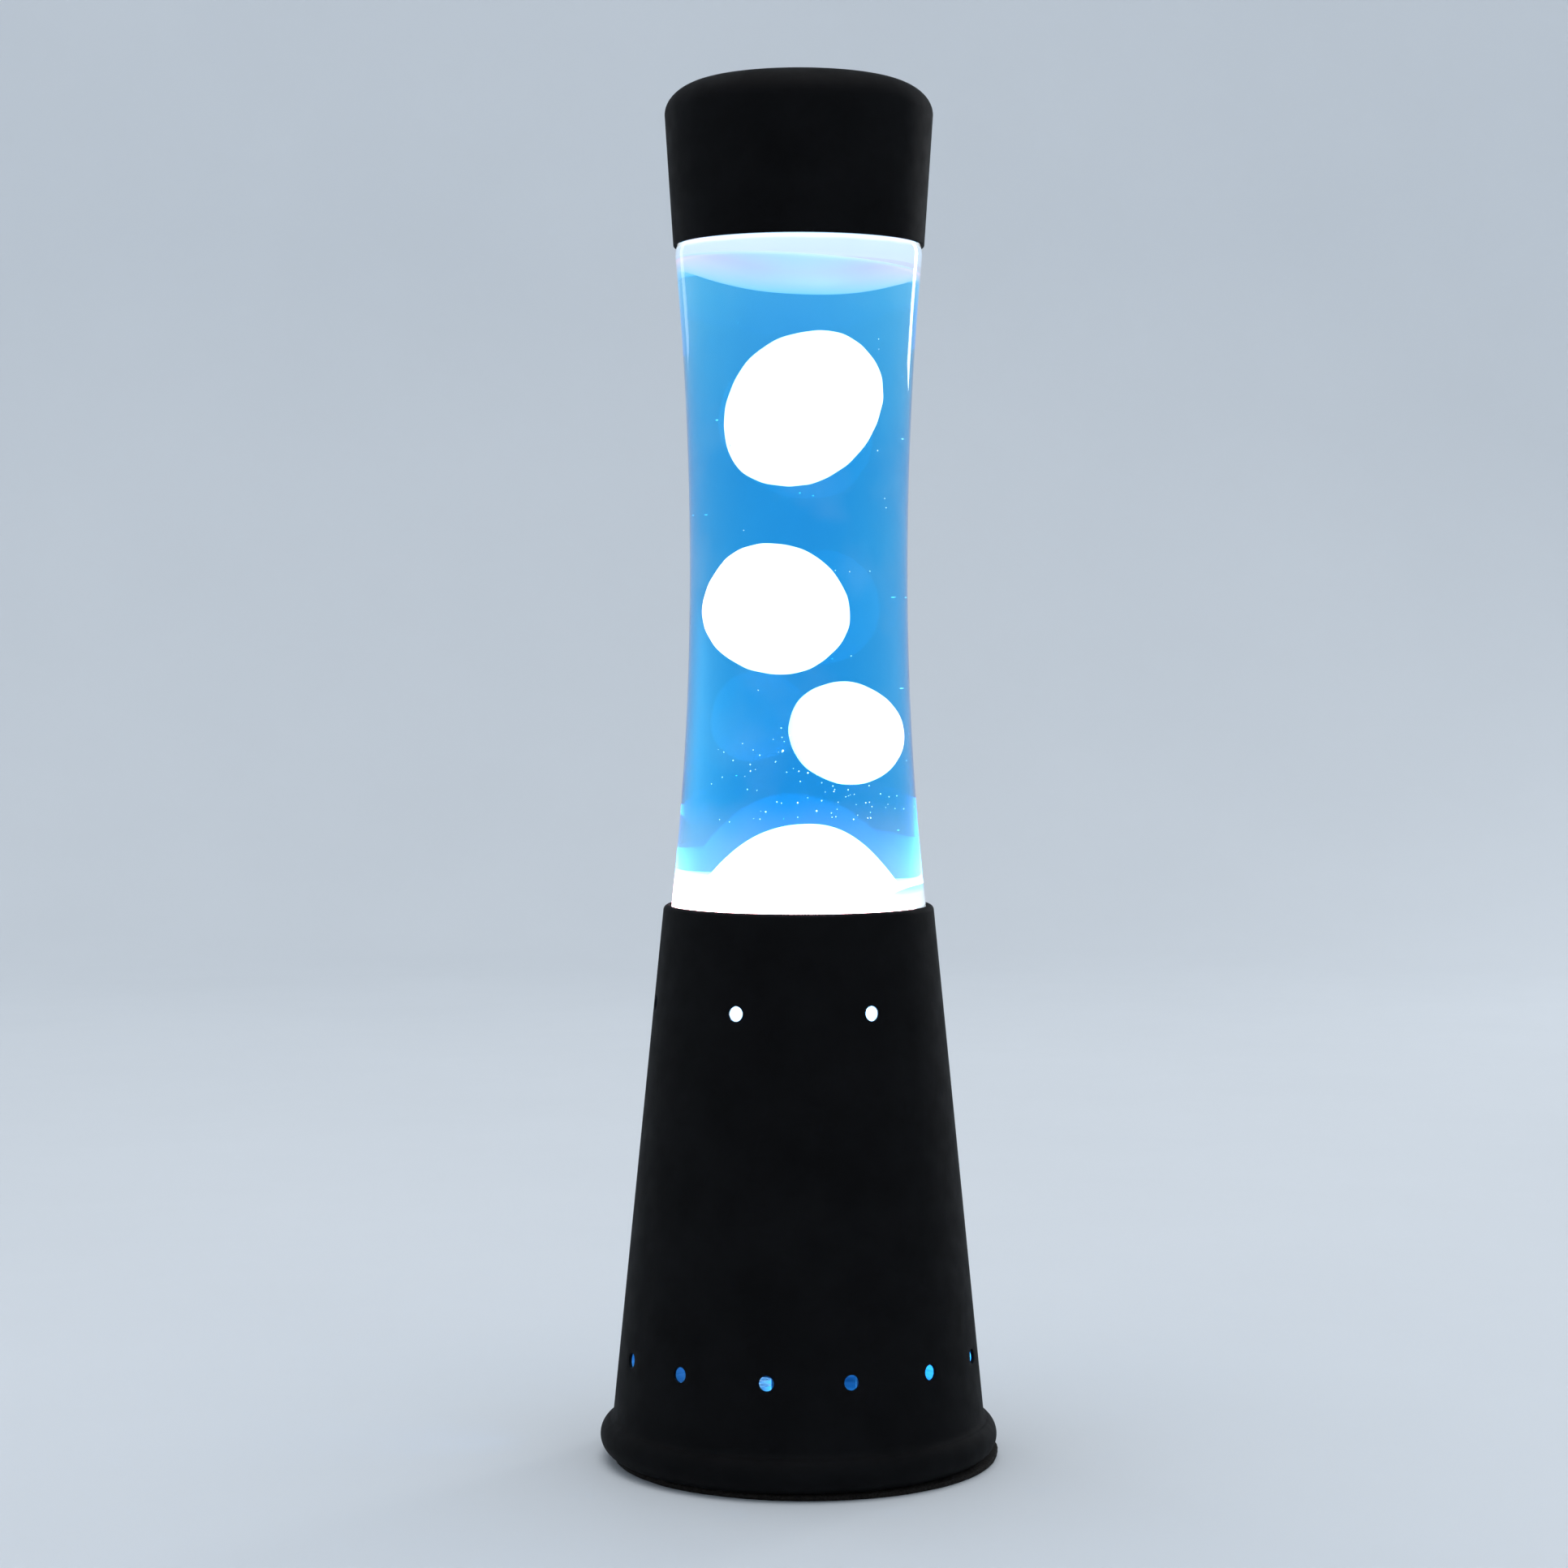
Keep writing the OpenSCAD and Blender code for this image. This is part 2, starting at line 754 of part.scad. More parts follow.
module bulb_support_wires() {
    color("#b9bcc0")
        for (side = [-1, 1]) {
            bent_wire([[side * 1.2, 0, stem_top_z + gap], [side * 1.6, 0, stem_top_z + 3],
                       [side * filament_half, 0, filament_z]], support_wire_r);
        }
}

module bulb_filament() {
    reach = filament_half - filament_r;
    color("#ffdf9a")
        rod([-reach, 0, filament_z], [reach, 0, filament_z], filament_r);
}

module glass_bottle() {
    neck_turn = 180 + shoulder_turn;
    neck_x = neck_r + neck_arc_r;
    neck_z = shoulder_z + neck_rise;
    outer = concat([[0, bottle_z + punt_h], [punt_r - punt_slope, bottle_z + punt_h], [punt_r, bottle_z]],
                   bottle_line(0),
                   arc_points(neck_x, neck_z, neck_arc_r, neck_turn, 180, 5),
                   [[neck_r, finish_z - finish_h], [finish_r, finish_z - finish_h + finish_bevel],
                    [finish_r, finish_z - locking_edge], [finish_r - locking_edge, finish_z]]);
    inner = concat([[0, bottle_z + floor_t]], bottle_line(glass_t),
                   arc_points(neck_x - neck_wall, neck_z - 1, neck_arc_r + 1, neck_turn, 180, 5),
                   [[neck_bore_r + 1, finish_z - mouth_depth - 2], [neck_bore_r, finish_z - mouth_depth],
                    [neck_bore_r, finish_z]]);
    color("#cfe6f5", 0.35)
        spun(sheet_outline(outer, inner));
}

module crown_cap() {
    low = finish_z - 5;
    color("#b4b7bb")
        difference() {
            spun([[0, crown_top_z], [12.6, crown_top_z], [14.1, finish_z - 0.3], [14.9, finish_z - 2],
                  [16.3, low], [15.3, low], [14, finish_z - 2], [13.45, finish_z - 0.6],
                  [13.2, finish_z + liner_t], [0, finish_z + liner_t]]);
            around(crown_flutes)
                rod([16.4, 0, finish_z - 1.6], [17.2, 0, low - 1], flute_r);
        }
}

module crown_liner() {
    color("#d8d8d2")
        translate([0, 0, finish_z])
            cylinder(r = 12.6, h = liner_t);
}

// Top of the wax at the bottom of the bottle, from the middle out to the glass
function pool_line(lift) =
    concat([for (i = [0:8]) let (r = dome_r * i / 8)
                            [r, dome_top_z - (dome_top_z - pool_z) * pow(r / dome_r, 2) + lift]],
           [[inner_glass_r(pool_z) - glass_room, pool_z + lift]]);

module liquid() {
    steps = 16;
    low = pool_z + gap;
    side = concat([for (i = [1:steps]) let (z = low + (shoulder_z - low) * i / steps)
                                       [inner_glass_r(z) - glass_room, z]],
                  [for (share = [0.5, 1]) let (z = shoulder_z + (liquid_z - shoulder_z) * share)
                                          [inner_glass_r(z) - glass_room, z]]);
    color("#1495e6", 0.5)
        difference() {
            spun(concat(pool_line(gap), side, [[0, liquid_z]]));
            drop_way(drop_top);
            drop_way(drop_middle);
            drop_way(drop_low);
        }
}

module wax_pool() {
    heel = low_glass_r - heel_r;
    low = bottle_z + floor_t + gap;
    color("#f4f6fa")
        difference() {
            spun(concat([[0, low], [heel, low]],
                        arc_points(heel, low + heel_r - glass_t, heel_r - glass_t - gap, -90, 0, 6),
                        [[inner_glass_r(bend_z) - glass_room, bend_z],
                         [inner_glass_r(pool_z) - glass_room, pool_z]],
                        backwards(pool_line(0))));
            rotate_extrude($fn = spin_fn)
                translate([coil_ring_r, coil_z])
                    circle(r = coil_wire_r + gap);
        }
}

module wax_coil() {
    color("#8f9296")
        rotate_extrude($fn = spin_fn)
            translate([coil_ring_r, coil_z])
                circle(r = coil_wire_r);
}

// A drop of wax: a leaning egg-shaped solid of revolution
module wax_drop(drop) {
    color("#f4f6fa")
        translate([drop[0], drop[1], drop[2]])
            rotate([0, drop[5], 0])
                spun([for (a = [-90:7.5:90]) [drop[4] * cos(a), drop[3] * sin(a)]]);
}

// The upright space that a drop sweeps as it rises and sinks
module drop_way(drop) {
    lean = drop[5];
    skew = abs((pow(drop[3], 2) - pow(drop[4], 2)) * sin(lean) * cos(lean));
    wide = sqrt(pow(drop[4] * cos(lean), 2) + pow(drop[3] * sin(lean), 2) + skew) + drop_gap;
    tall = sqrt(pow(drop[3] * cos(lean), 2) + pow(drop[4] * sin(lean), 2) + skew) + drop_gap;
    translate([drop[0], drop[1], drop[2]])
        spun(concat([for (a = [-90:7.5:0]) [wide * cos(a), tall * sin(a) - drop[6]]],
                    [for (a = [0:7.5:90]) [wide * cos(a), tall * sin(a) + drop[7]]]));
}

module wax_drop_top() { wax_drop(drop_top); }

module wax_drop_middle() { wax_drop(drop_middle); }

module wax_drop_low() { wax_drop(drop_low); }

module top_cap() {
    color("#161618")
        spun(sheet_outline(cap_line(0), cap_line(cap_t)));
}

module cap_pad() {
    color("#2a2a2c")
        translate([0, 0, crown_top_z])
            cylinder(r = cap_pad_r, h = total_h - cap_t - crown_top_z);
}

base_shell();
foot_pad();
bottom_plate();
plate_screws();
plate_nuts();
bottle_seat();
seat_gasket();
cord_grommet();
holder_bracket();
bracket_rivets();
holder_body();
holder_screw_shell();
holder_centre_contact();
holder_nipple();
holder_nut();
terminal_block();
terminal_tubes();
terminal_screws();
block_screws();
lead_live();
lead_neutral();
lead_earth();
earth_tag();
earth_screw();
bulb_envelope();
bulb_screw_cap();
bulb_insulator();
bulb_contact();
bulb_stem();
bulb_support_wires();
bulb_filament();
glass_bottle();
crown_cap();
crown_liner();
liquid();
wax_pool();
wax_coil();
wax_drop_top();
wax_drop_middle();
wax_drop_low();
top_cap();
cap_pad();
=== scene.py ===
"""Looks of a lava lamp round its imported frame: metres in the scene, +Z up, front towards -Y.

Outlines are worked out in millimetres as (radius, height) and scaled when a mesh is made.
"""

import random
from math import acos, asin, atan, cos, degrees, exp, hypot, pi, radians, sin, sqrt

import bmesh
import bpy
from mathutils import Matrix, Vector, noise


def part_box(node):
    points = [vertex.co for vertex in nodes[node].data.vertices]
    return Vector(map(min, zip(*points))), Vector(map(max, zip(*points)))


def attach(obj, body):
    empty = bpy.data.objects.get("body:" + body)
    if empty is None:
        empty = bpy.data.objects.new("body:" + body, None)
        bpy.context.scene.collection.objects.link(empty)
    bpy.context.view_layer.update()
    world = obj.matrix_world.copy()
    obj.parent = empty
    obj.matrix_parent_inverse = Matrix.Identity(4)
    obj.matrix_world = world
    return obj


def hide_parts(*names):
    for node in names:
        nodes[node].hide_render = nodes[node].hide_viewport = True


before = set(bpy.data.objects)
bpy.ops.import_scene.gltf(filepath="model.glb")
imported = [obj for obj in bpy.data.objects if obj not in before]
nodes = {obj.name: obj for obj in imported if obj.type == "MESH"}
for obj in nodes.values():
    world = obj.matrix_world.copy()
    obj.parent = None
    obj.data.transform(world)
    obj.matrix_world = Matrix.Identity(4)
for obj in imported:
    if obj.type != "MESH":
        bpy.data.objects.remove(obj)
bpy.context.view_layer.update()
scene = bpy.context.scene

MM = 0.001
SIDES = 192


def node_box(name):
    """Lowest and highest corners of a CAD node, in millimetres."""
    low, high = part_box(name)
    return low / MM, high / MM


# ---------------------------------------------------------------- camera

CAMERA_PLACE = (-0.00427, -0.97926, 0.23737)
CAMERA_PITCH = -2.351
CAMERA_LENS = 77.17
SENSOR = 36.0


def add_camera():
    data = bpy.data.cameras.new("camera")
    data.sensor_width = SENSOR
    data.lens = CAMERA_LENS
    data.clip_start = 0.01
    camera = bpy.data.objects.new("camera", data)
    camera.location = CAMERA_PLACE
    camera.rotation_euler = (radians(90 + CAMERA_PITCH), 0, 0)
    scene.collection.objects.link(camera)
    scene.camera = camera


# ---------------------------------------------------------------- sizes, in millimetres

base_high = node_box("base_shell")[1]
bottle_low, bottle_high = node_box("glass_bottle")
cap_low, cap_high = node_box("top_cap")
liquid_high = node_box("liquid")[1]
pool_high = node_box("wax_pool")[1]
pad_high = node_box("foot_pad")[1]
bulb_low, bulb_high = node_box("bulb_envelope")
crown_low, crown_high = node_box("crown_cap")
cap_pad_low, cap_pad_high = node_box("cap_pad")

SHEET = 1.0
FOOT_R = base_high.x
BEAD_R = 5.5
CONE_FLOOR_R = 55.62
CONE_SLOPE = 0.1005
CONE_TILT = degrees(atan(CONE_SLOPE))
LIP_R = 42.0
LIP_Z = pad_high.z + 1.2
FILLET_R = 2.5
RIM_Z = base_high.z
RIM_EDGE_R = 1.6
RIM_INNER_R = 37.45
RIM_DROP = 0.2
BEAD_X = FOOT_R - BEAD_R
BEAD_Z = pad_high.z + BEAD_R

BOTTLE_Z = bottle_low.z
GLASS = 2.2
WAIST_R = 31.67
WAIST_Z = 260.0
LOW_GLASS_R = bottle_high.x
BEND_Z = 161.0
SHOULDER_R = 35.75
SHOULDER_Z = 350.0
SHOULDER_ARC_R = 9.0
SHOULDER_START = 6.0
SHOULDER_TURN = 70.0
HEEL_R = 6.0
PUNT_R = 26.0
PUNT_H = 2.0
BOTTLE_FLOOR = 3.7
NECK_R = 12.6
NECK_ARC_R = 7.0
NECK_BORE_R = 8.5
NECK_RISE = 19.6
NECK_WALL = 1.9
FINISH_R = 13.3
FINISH_H = 4.4
FINISH_EDGE_R = 1.2
FINISH_Z = bottle_high.z
LIQUID_Z = liquid_high.z

CAP_SHEET = 0.7
CAP_LOW_R = 36.35
CAP_TOP_R = cap_high.x
CAP_CORNER_W = 14.0
CAP_CORNER_H = 9.5


# ---------------------------------------------------------------- outlines

def arc(x, z, r, start, end, steps):
    """Points along an arc, with its angles in degrees."""
    turns = [radians(start + (end - start) * i / steps) for i in range(steps + 1)]
    return [(x + r * cos(a), z + r * sin(a)) for a in turns]


def spaced(start, end, steps):
    return [start + (end - start) * i / steps for i in range(steps + 1)]


def blend(x, start, end):
    """Smooth rise from 0 at start to 1 at end."""
    t = min(1.0, max(0.0, (x - start) / (end - start)))
    return t * t * (3 - 2 * t)


def around(r, z, azimuth):
    """A point at a radius, a height and an angle in degrees from the front, in metres."""
    a = radians(azimuth)
    return Vector((r * sin(a), -r * cos(a), z)) * MM


def cone_r(z):
    return CONE_FLOOR_R - CONE_SLOPE * z


def glass_r(z):
    """Outer radius of the waisted part of the bottle."""
    if z < WAIST_Z:
        return WAIST_R + (LOW_GLASS_R - WAIST_R) * ((WAIST_Z - z) / (WAIST_Z - BEND_Z)) ** 2
    return WAIST_R + (SHOULDER_R - WAIST_R) * ((z - WAIST_Z) / (SHOULDER_Z - WAIST_Z)) ** 2


def bottle_line(inset):
    """The bottle from its heel to its shoulder, moved in from the outside of the glass."""
    heel_z = BOTTLE_Z + (BOTTLE_FLOOR + HEEL_R - inset if inset > 0 else HEEL_R)
    line = arc(LOW_GLASS_R - HEEL_R, heel_z, HEEL_R - inset, -90, 0, 10)
    line += [(glass_r(z) - inset, z) for z in spaced(BEND_Z, SHOULDER_Z, 64)]
    centre_x, r = SHOULDER_R - SHOULDER_ARC_R, SHOULDER_ARC_R - inset
    return line + arc(centre_x, SHOULDER_Z, r, SHOULDER_START, SHOULDER_TURN, 12)


def inner_r(z):
    """Inner radius of the bottle, from its heel up to its shoulder."""
    if z > SHOULDER_Z:
        return SHOULDER_R - SHOULDER_ARC_R + sqrt((SHOULDER_ARC_R - GLASS) ** 2 - (z - SHOULDER_Z) ** 2)
    return glass_r(max(z, BEND_Z)) - GLASS


# ---------------------------------------------------------------- meshes

def new_piece(name, bm, material, body, sharp=35.0):
    """Turns a bmesh into a smooth object that rides on a body."""
    bmesh.ops.recalc_face_normals(bm, faces=bm.faces)
    mesh = bpy.data.meshes.new(name)
    bm.to_mesh(mesh)
    bm.free()
    mesh.polygons.foreach_set("use_smooth", [True] * len(mesh.polygons))
    mesh.set_sharp_from_angle(angle=radians(sharp))
    piece = bpy.data.objects.new(name, mesh)
    scene.collection.objects.link(piece)
    for each in material if isinstance(material, (list, tuple)) else [material]:
        mesh.materials.append(each)
    if body is None:
        return piece
    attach(piece, body)
    return piece


def join_rings(bm, rings, closed=False):
    """Faces between rings of equal count; a ring of one vertex is a pole."""
    faces = []
    pairs = list(zip(rings, rings[1:] + rings[:1])) if closed else list(zip(rings, rings[1:]))
    for a, b in pairs:
        count = max(len(a), len(b))
        for i in range(count):
            k = (i + 1) % count
            corners = [a[i % len(a)], a[k % len(a)], b[k % len(b)], b[i % len(b)]]
            faces.append(bm.faces.new(list(dict.fromkeys(corners))))
    return faces


def lathe(bm, line, closed=False, sides=SIDES, flutes=None):
    """Spins a line round the Z axis; flutes, if given, adds a height to each radius."""
    rings = []
    for step, (r, z) in enumerate(line):
        if r < 0.001:
            rings.append([bm.verts.new((0, 0, z * MM))])
            continue
        ring = []
        for i in range(sides):
            turn = 360 * i / sides
            extra = flutes(step, turn) if flutes else 0
            ring.append(bm.verts.new(around(r + extra, z, turn)))
        rings.append(ring)
    return join_rings(bm, rings, closed)


# ---------------------------------------------------------------- material helper

class Shader:
    """One material, and short calls that add nodes to it."""

    def __init__(self, name):
        self.material = bpy.data.materials.new(name)
        self.material.use_nodes = True
        self.tree = self.material.node_tree
        self.bsdf = self.tree.nodes["Principled BSDF"]
        self.output = self.tree.nodes["Material Output"]
        self.place = self.add("ShaderNodeTexCoord").outputs["Object"]

    def add(self, kind, **values):
        node = self.tree.nodes.new(kind)
        for key, value in values.items():
            setattr(node, key, value)
        return node

    def link(self, source, target):
        self.tree.links.new(source, target)

    def set(self, **values):
        """Constant values on the shader's own sockets."""
        for key, value in values.items():
            self.bsdf.inputs[key.replace("_", " ")].default_value = value

    def stretched(self, x, y, z):
        """Object coordinates scaled along each axis."""
        node = self.add("ShaderNodeMapping")
        self.link(self.place, node.inputs["Vector"])
        node.inputs["Scale"].default_value = (x, y, z)
        return node.outputs["Vector"]

    def noise(self, scale, detail=3.0, roughness=0.5, vector=None):
        node = self.add("ShaderNodeTexNoise")
        self.link(vector or self.place, node.inputs["Vector"])
        node.inputs["Scale"].default_value = scale
        node.inputs["Detail"].default_value = detail
        node.inputs["Roughness"].default_value = roughness
        return node.outputs["Fac"]

    def cells(self, scale):
        node = self.add("ShaderNodeTexVoronoi")
        self.link(self.place, node.inputs["Vector"])
        node.inputs["Scale"].default_value = scale
        return node.outputs["Distance"]

    def ramp(self, factor, stops):
        node = self.add("ShaderNodeValToRGB")
        self.link(factor, node.inputs["Fac"])
        ramp = node.color_ramp
        while len(ramp.elements) < len(stops):
            ramp.elements.new(0.5)
        for element, (position, color) in zip(ramp.elements, stops):
            element.position = position
            element.color = (*color, 1)
        return node.outputs["Color"]

    def spread(self, factor, low, high, start=0.25, end=0.75):
        """Maps start..end of a factor to low..high."""
        node = self.add("ShaderNodeMapRange")
        self.link(factor, node.inputs["Value"])
        for key, value in (("From Min", start), ("From Max", end), ("To Min", low), ("To Max", high)):
            node.inputs[key].default_value = value
        return node.outputs["Result"]

    def math(self, operation, a, b):
        node = self.add("ShaderNodeMath", operation=operation)
        for value, socket in zip((a, b), node.inputs):
            if isinstance(value, (int, float)):
                socket.default_value = value
            else:
                self.link(value, socket)
        return node.outputs["Value"]

    def mix(self, factor, first, second):
        """Blends two colours."""
        node = self.add("ShaderNodeMix", data_type="RGBA")
        for source, index in ((factor, 0), (first, 6), (second, 7)):
            self.link(source, node.inputs[index])
        return node.outputs[2]

    def height(self):
        """Height in metres on the piece at rest."""
        node = self.add("ShaderNodeSeparateXYZ")
        self.link(self.place, node.inputs["Vector"])
        return node.outputs["Z"]

    def color(self, socket):
        self.link(socket, self.bsdf.inputs["Base Color"])

    def glow(self, socket, strength):
        self.link(socket, self.bsdf.inputs["Emission Color"])
        self.set(Emission_Strength=strength)

    def rough(self, factor, low, high):
        self.link(self.spread(factor, low, high), self.bsdf.inputs["Roughness"])

    def bump(self, height, strength, distance):
        node = self.add("ShaderNodeBump")
        node.inputs["Strength"].default_value = strength
        node.inputs["Distance"].default_value = distance
        self.link(height, node.inputs["Height"])
        self.link(node.outputs["Normal"], self.bsdf.inputs["Normal"])

    def clear_shadow(self):
        """Lets lamp light pass straight through: transparent to shadow rays only."""
        see_through = self.add("ShaderNodeBsdfTransparent")
        path = self.add("ShaderNodeLightPath")
        mix = self.add("ShaderNodeMixShader")
        self.link(path.outputs["Is Shadow Ray"], mix.inputs["Fac"])
        self.link(self.bsdf.outputs["BSDF"], mix.inputs[1])
        self.link(see_through.outputs["BSDF"], mix.inputs[2])
        self.link(mix.outputs["Shader"], self.output.inputs["Surface"])


# ---------------------------------------------------------------- materials

def powder_coat():
    """Matt black powder coat: fine orange peel and a few duller patches."""
    s = Shader("powder_coat_black")
    patches = s.noise(55, 4)
    s.color(s.ramp(patches, [(0.3, (0.0030, 0.0031, 0.0036)), (0.7, (0.0052, 0.0054, 0.0062))]))
    s.rough(s.noise(160, 5), 0.60, 0.74)
    s.set(Specular_IOR_Level=0.05)
    peel = s.noise(1500, 2)
    grain = s.noise(6500, 1)
    s.bump(s.math("ADD", peel, s.math("MULTIPLY", grain, 0.35)), 0.22, 0.00012)
    return s.material


def spun_inside():
    """Inside of the spun sheet, with turning marks; its blue tint is painted light, for the blue glow
    inside the base.
    """
    s = Shader("spun_sheet_inside")
    rings = s.noise(60, 3, vector=s.stretched(0.4, 0.4, 18))
    # Blue tint: painted light, for the blue glow inside the base
    s.color(s.ramp(rings, [(0.3, (0.12, 0.18, 0.25)), (0.7, (0.21, 0.29, 0.37))]))
    s.set(Metallic=0.6)
    s.rough(rings, 0.42, 0.62)
    s.bump(rings, 0.25, 0.0002)
    return s.material


def bottle_glass():
    """Clear pressed glass, very slightly uneven."""
    s = Shader("bottle_glass")
    s.set(Transmission_Weight=1.0, IOR=1.5, Specular_Tint=(0.12, 0.28, 0.36, 1))
    waves = s.noise(38, 2)
    s.color(s.ramp(waves, [(0.3, (0.965, 0.985, 0.99)), (0.7, (0.985, 0.995, 1.0))]))
    s.rough(s.noise(240, 3), 0.0, 0.012)
    s.bump(waves, 0.25, 0.0004)
    s.clear_shadow()
    return s.material


# What a metre of the liquid absorbs of red, green and blue
LIQUID_ABSORBS = (62.0, 12.5, 1.0)
# Heights between which the liquid's painted glow changes, in metres as in all materials
PAINTED_GLOW_AT_SURFACE = (0.290, 0.342)
PAINTED_GLOW_AT_MOUND = (0.170, 0.194)
# Strength of the liquid's painted glow, which stands in for light scattered in it
LIQUID_PAINTED_GLOW = 0.24


def blue_liquid():
    """Clear azure liquid: it takes the red out of what is seen through it, and glows a little.

    Its glow is painted light, standing in for light scattered in it: paler near the surface, and redder
    down by the mound.
    """
    s = Shader("liquid_blue")
    s.set(Transmission_Weight=1.0, IOR=1.34, Specular_Tint=(0.1, 0.3, 0.4, 1))
    swirls = s.noise(45, 3)
    # Painted glow: paler towards the surface, redder near the mound, for light scattered in the liquid
    rise = s.math("ADD", s.spread(s.height(), 0, 1, *PAINTED_GLOW_AT_SURFACE), s.spread(swirls, -0.15, 0.15))
    far = s.ramp(rise, [(0.0, (0.0, 0.065, 0.31)), (1.0, (0.19, 0.43, 0.5))])
    sink = s.math("ADD", s.spread(s.height(), 1, 0, *PAINTED_GLOW_AT_MOUND), s.spread(swirls, -0.1, 0.1))
    near = s.ramp(swirls, [(0.3, (0.95, 0.55, 0.45)), (0.7, (1.0, 0.62, 0.52))])
    s.glow(s.mix(sink, far, near), LIQUID_PAINTED_GLOW)
    s.color(s.ramp(swirls, [(0.3, (0.97, 0.99, 1.0)), (0.7, (0.99, 1.0, 1.0))]))
    s.rough(swirls, 0.0, 0.004)
    s.bump(swirls, 0.1, 0.0002)
    s.clear_shadow()
    volume = s.add("ShaderNodeVolumeAbsorption")
    density = max(LIQUID_ABSORBS)
    volume.inputs["Density"].default_value = density
    volume.inputs["Color"].default_value = (*[1 - a / density for a in LIQUID_ABSORBS], 1)
    s.link(volume.outputs["Volume"], s.output.inputs["Volume"])
    return s.material


DROP_GLOW = 6.0
MOUND_GLOW = 12.0
WAX_SHADES = [(0.90, 0.94, 0.97), (0.96, 0.97, 0.98)]
DROP_LIGHT = [(0.96, 0.34, 0.29), (1.0, 0.37, 0.31)]
MOUND_LIGHT = [(0.96, 0.52, 0.58), (1.0, 0.56, 0.62)]
THIN_SHADES = [(0.20, 0.26, 0.31), (0.25, 0.31, 0.36)]
THIN_LIGHT = [(0.052, 0.068, 0.074), (0.062, 0.074, 0.080)]
# Where thin wax starts to the right: its X at two heights, on the wall and then on the top
THIN_ON_WALL = (0.0325, 0.0298, 0.1608, 0.1652)
THIN_ON_TOP = (0.0, -0.0058, 0.1652, 0.1660)


def glowing_wax():
    """White wax of the drops, lit through by the bulb; redder than it looks through the liquid."""
    s = Shader("wax_white")
    veil = s.noise(90, 4)
    s.color(s.ramp(veil, list(zip((0.3, 0.7), WAX_SHADES))))
    s.glow(s.ramp(veil, list(zip((0.3, 0.7), DROP_LIGHT))), DROP_GLOW)
    s.rough(veil, 0.25, 0.4)
    s.bump(s.noise(140, 3), 0.2, 0.0004)
    return s.material


def mound_wax():
    """Wax nearest the bulb: brightest in its mound, thin and dimmer right of the mound's slope."""
    s = Shader("wax_at_the_bulb")
    split = s.add("ShaderNodeSeparateXYZ")
    s.link(s.place, split.inputs["Vector"])
    x, z = split.outputs["X"], split.outputs["Z"]
    on_wall = s.spread(z, *THIN_ON_WALL)
    on_top = s.spread(z, *THIN_ON_TOP)
    thin = s.spread(s.math("SUBTRACT", x, s.math("ADD", on_wall, on_top)), 0, 1, -0.0006, 0.0006)
    tone = s.math("ADD", s.math("MULTIPLY", thin, 0.9), s.math("MULTIPLY", s.noise(90, 4), 0.1))
    stops = (0.02, 0.08, 0.92, 0.98)
    s.color(s.ramp(tone, list(zip(stops, WAX_SHADES + THIN_SHADES))))
    s.glow(s.ramp(tone, list(zip(stops, MOUND_LIGHT + THIN_LIGHT))), MOUND_GLOW)
    s.rough(s.noise(120, 4), 0.25, 0.4)
    s.bump(s.noise(140, 3), 0.2, 0.0004)
    return s.material


# The layer under the liquid's surface is a sheet of painted light; strength of its glow
LAYER_GLOW = 1.6
# Heights of the layer's wall, and the radii between which its bowl turns into its wall
LAYER_SPAN = (0.3390, 0.3526)
LAYER_WALL = (0.0312, 0.0328)
# Depth of the liquid in front of the layer, and how much more it counts towards the sides
DEPTH_SHARE = 30
SIDE_SHARE = 800
# The layer's painted glow colours, redder where more blue liquid lies in front of it
LAYER_STOPS = (0.03, 0.25, 0.42, 0.62, 1.0)
LAYER_GLOW_COLORS = [(0.38, 0.45, 0.58), (0.42, 0.43, 0.55), (0.60, 0.40, 0.53), (0.77, 0.46, 0.55),
                (0.92, 0.50, 0.57)]


def painted_glow_layer():
    """Pale glowing sheet of painted light under the liquid's surface: a bowl, and a wall whose painted
    highlight is whitest at its top.
    """
    s = Shader("painted_glow_layer")
    glow_mottle = s.noise(60, 4, vector=s.stretched(1, 1, 0.35))
    s.color(s.ramp(glow_mottle, [(0.3, (0.05, 0.08, 0.10)), (0.7, (0.07, 0.10, 0.12))]))
    rise = s.spread(s.height(), 0, 1, *LAYER_SPAN)
    tone = s.math("ADD", s.math("MULTIPLY", rise, 0.94), s.math("MULTIPLY", glow_mottle, 0.06))
    reach = s.add("ShaderNodeVectorMath", operation="LENGTH")
    s.link(s.stretched(1, 1, 0), reach.inputs[0])
    split = s.add("ShaderNodeSeparateXYZ")
    s.link(s.place, split.inputs["Vector"])
    x, y = split.outputs["X"], split.outputs["Y"]
    across = s.math("MULTIPLY", x, x)
    front = s.math("SQRT", s.math("SUBTRACT", LAYER_WALL[1] ** 2, across), 0)
    aside = s.math("ADD", s.math("MULTIPLY", across, SIDE_SHARE), 1)
    path = s.math("MULTIPLY", s.math("ADD", y, front), aside)
    depth = s.math("ADD", s.math("MULTIPLY", path, DEPTH_SHARE), s.math("MULTIPLY", glow_mottle, 0.06))
    bowl = s.ramp(depth, list(zip(LAYER_STOPS, LAYER_GLOW_COLORS)))
    # The wall's painted glow, with a painted highlight at its top
    wall = s.ramp(tone, [(0.5, (0.39, 0.45, 0.58)), (0.88, (0.43, 0.50, 0.62)), (0.95, (0.8, 0.8, 0.8))])
    at_wall = s.spread(reach.outputs["Value"], 0, 1, *LAYER_WALL)
    s.glow(s.mix(at_wall, bowl, wall), LAYER_GLOW)
    s.rough(glow_mottle, 0.35, 0.5)
    s.bump(glow_mottle, 0.1, 0.0003)
    return s.material


BUBBLE_GLOW = 1.6


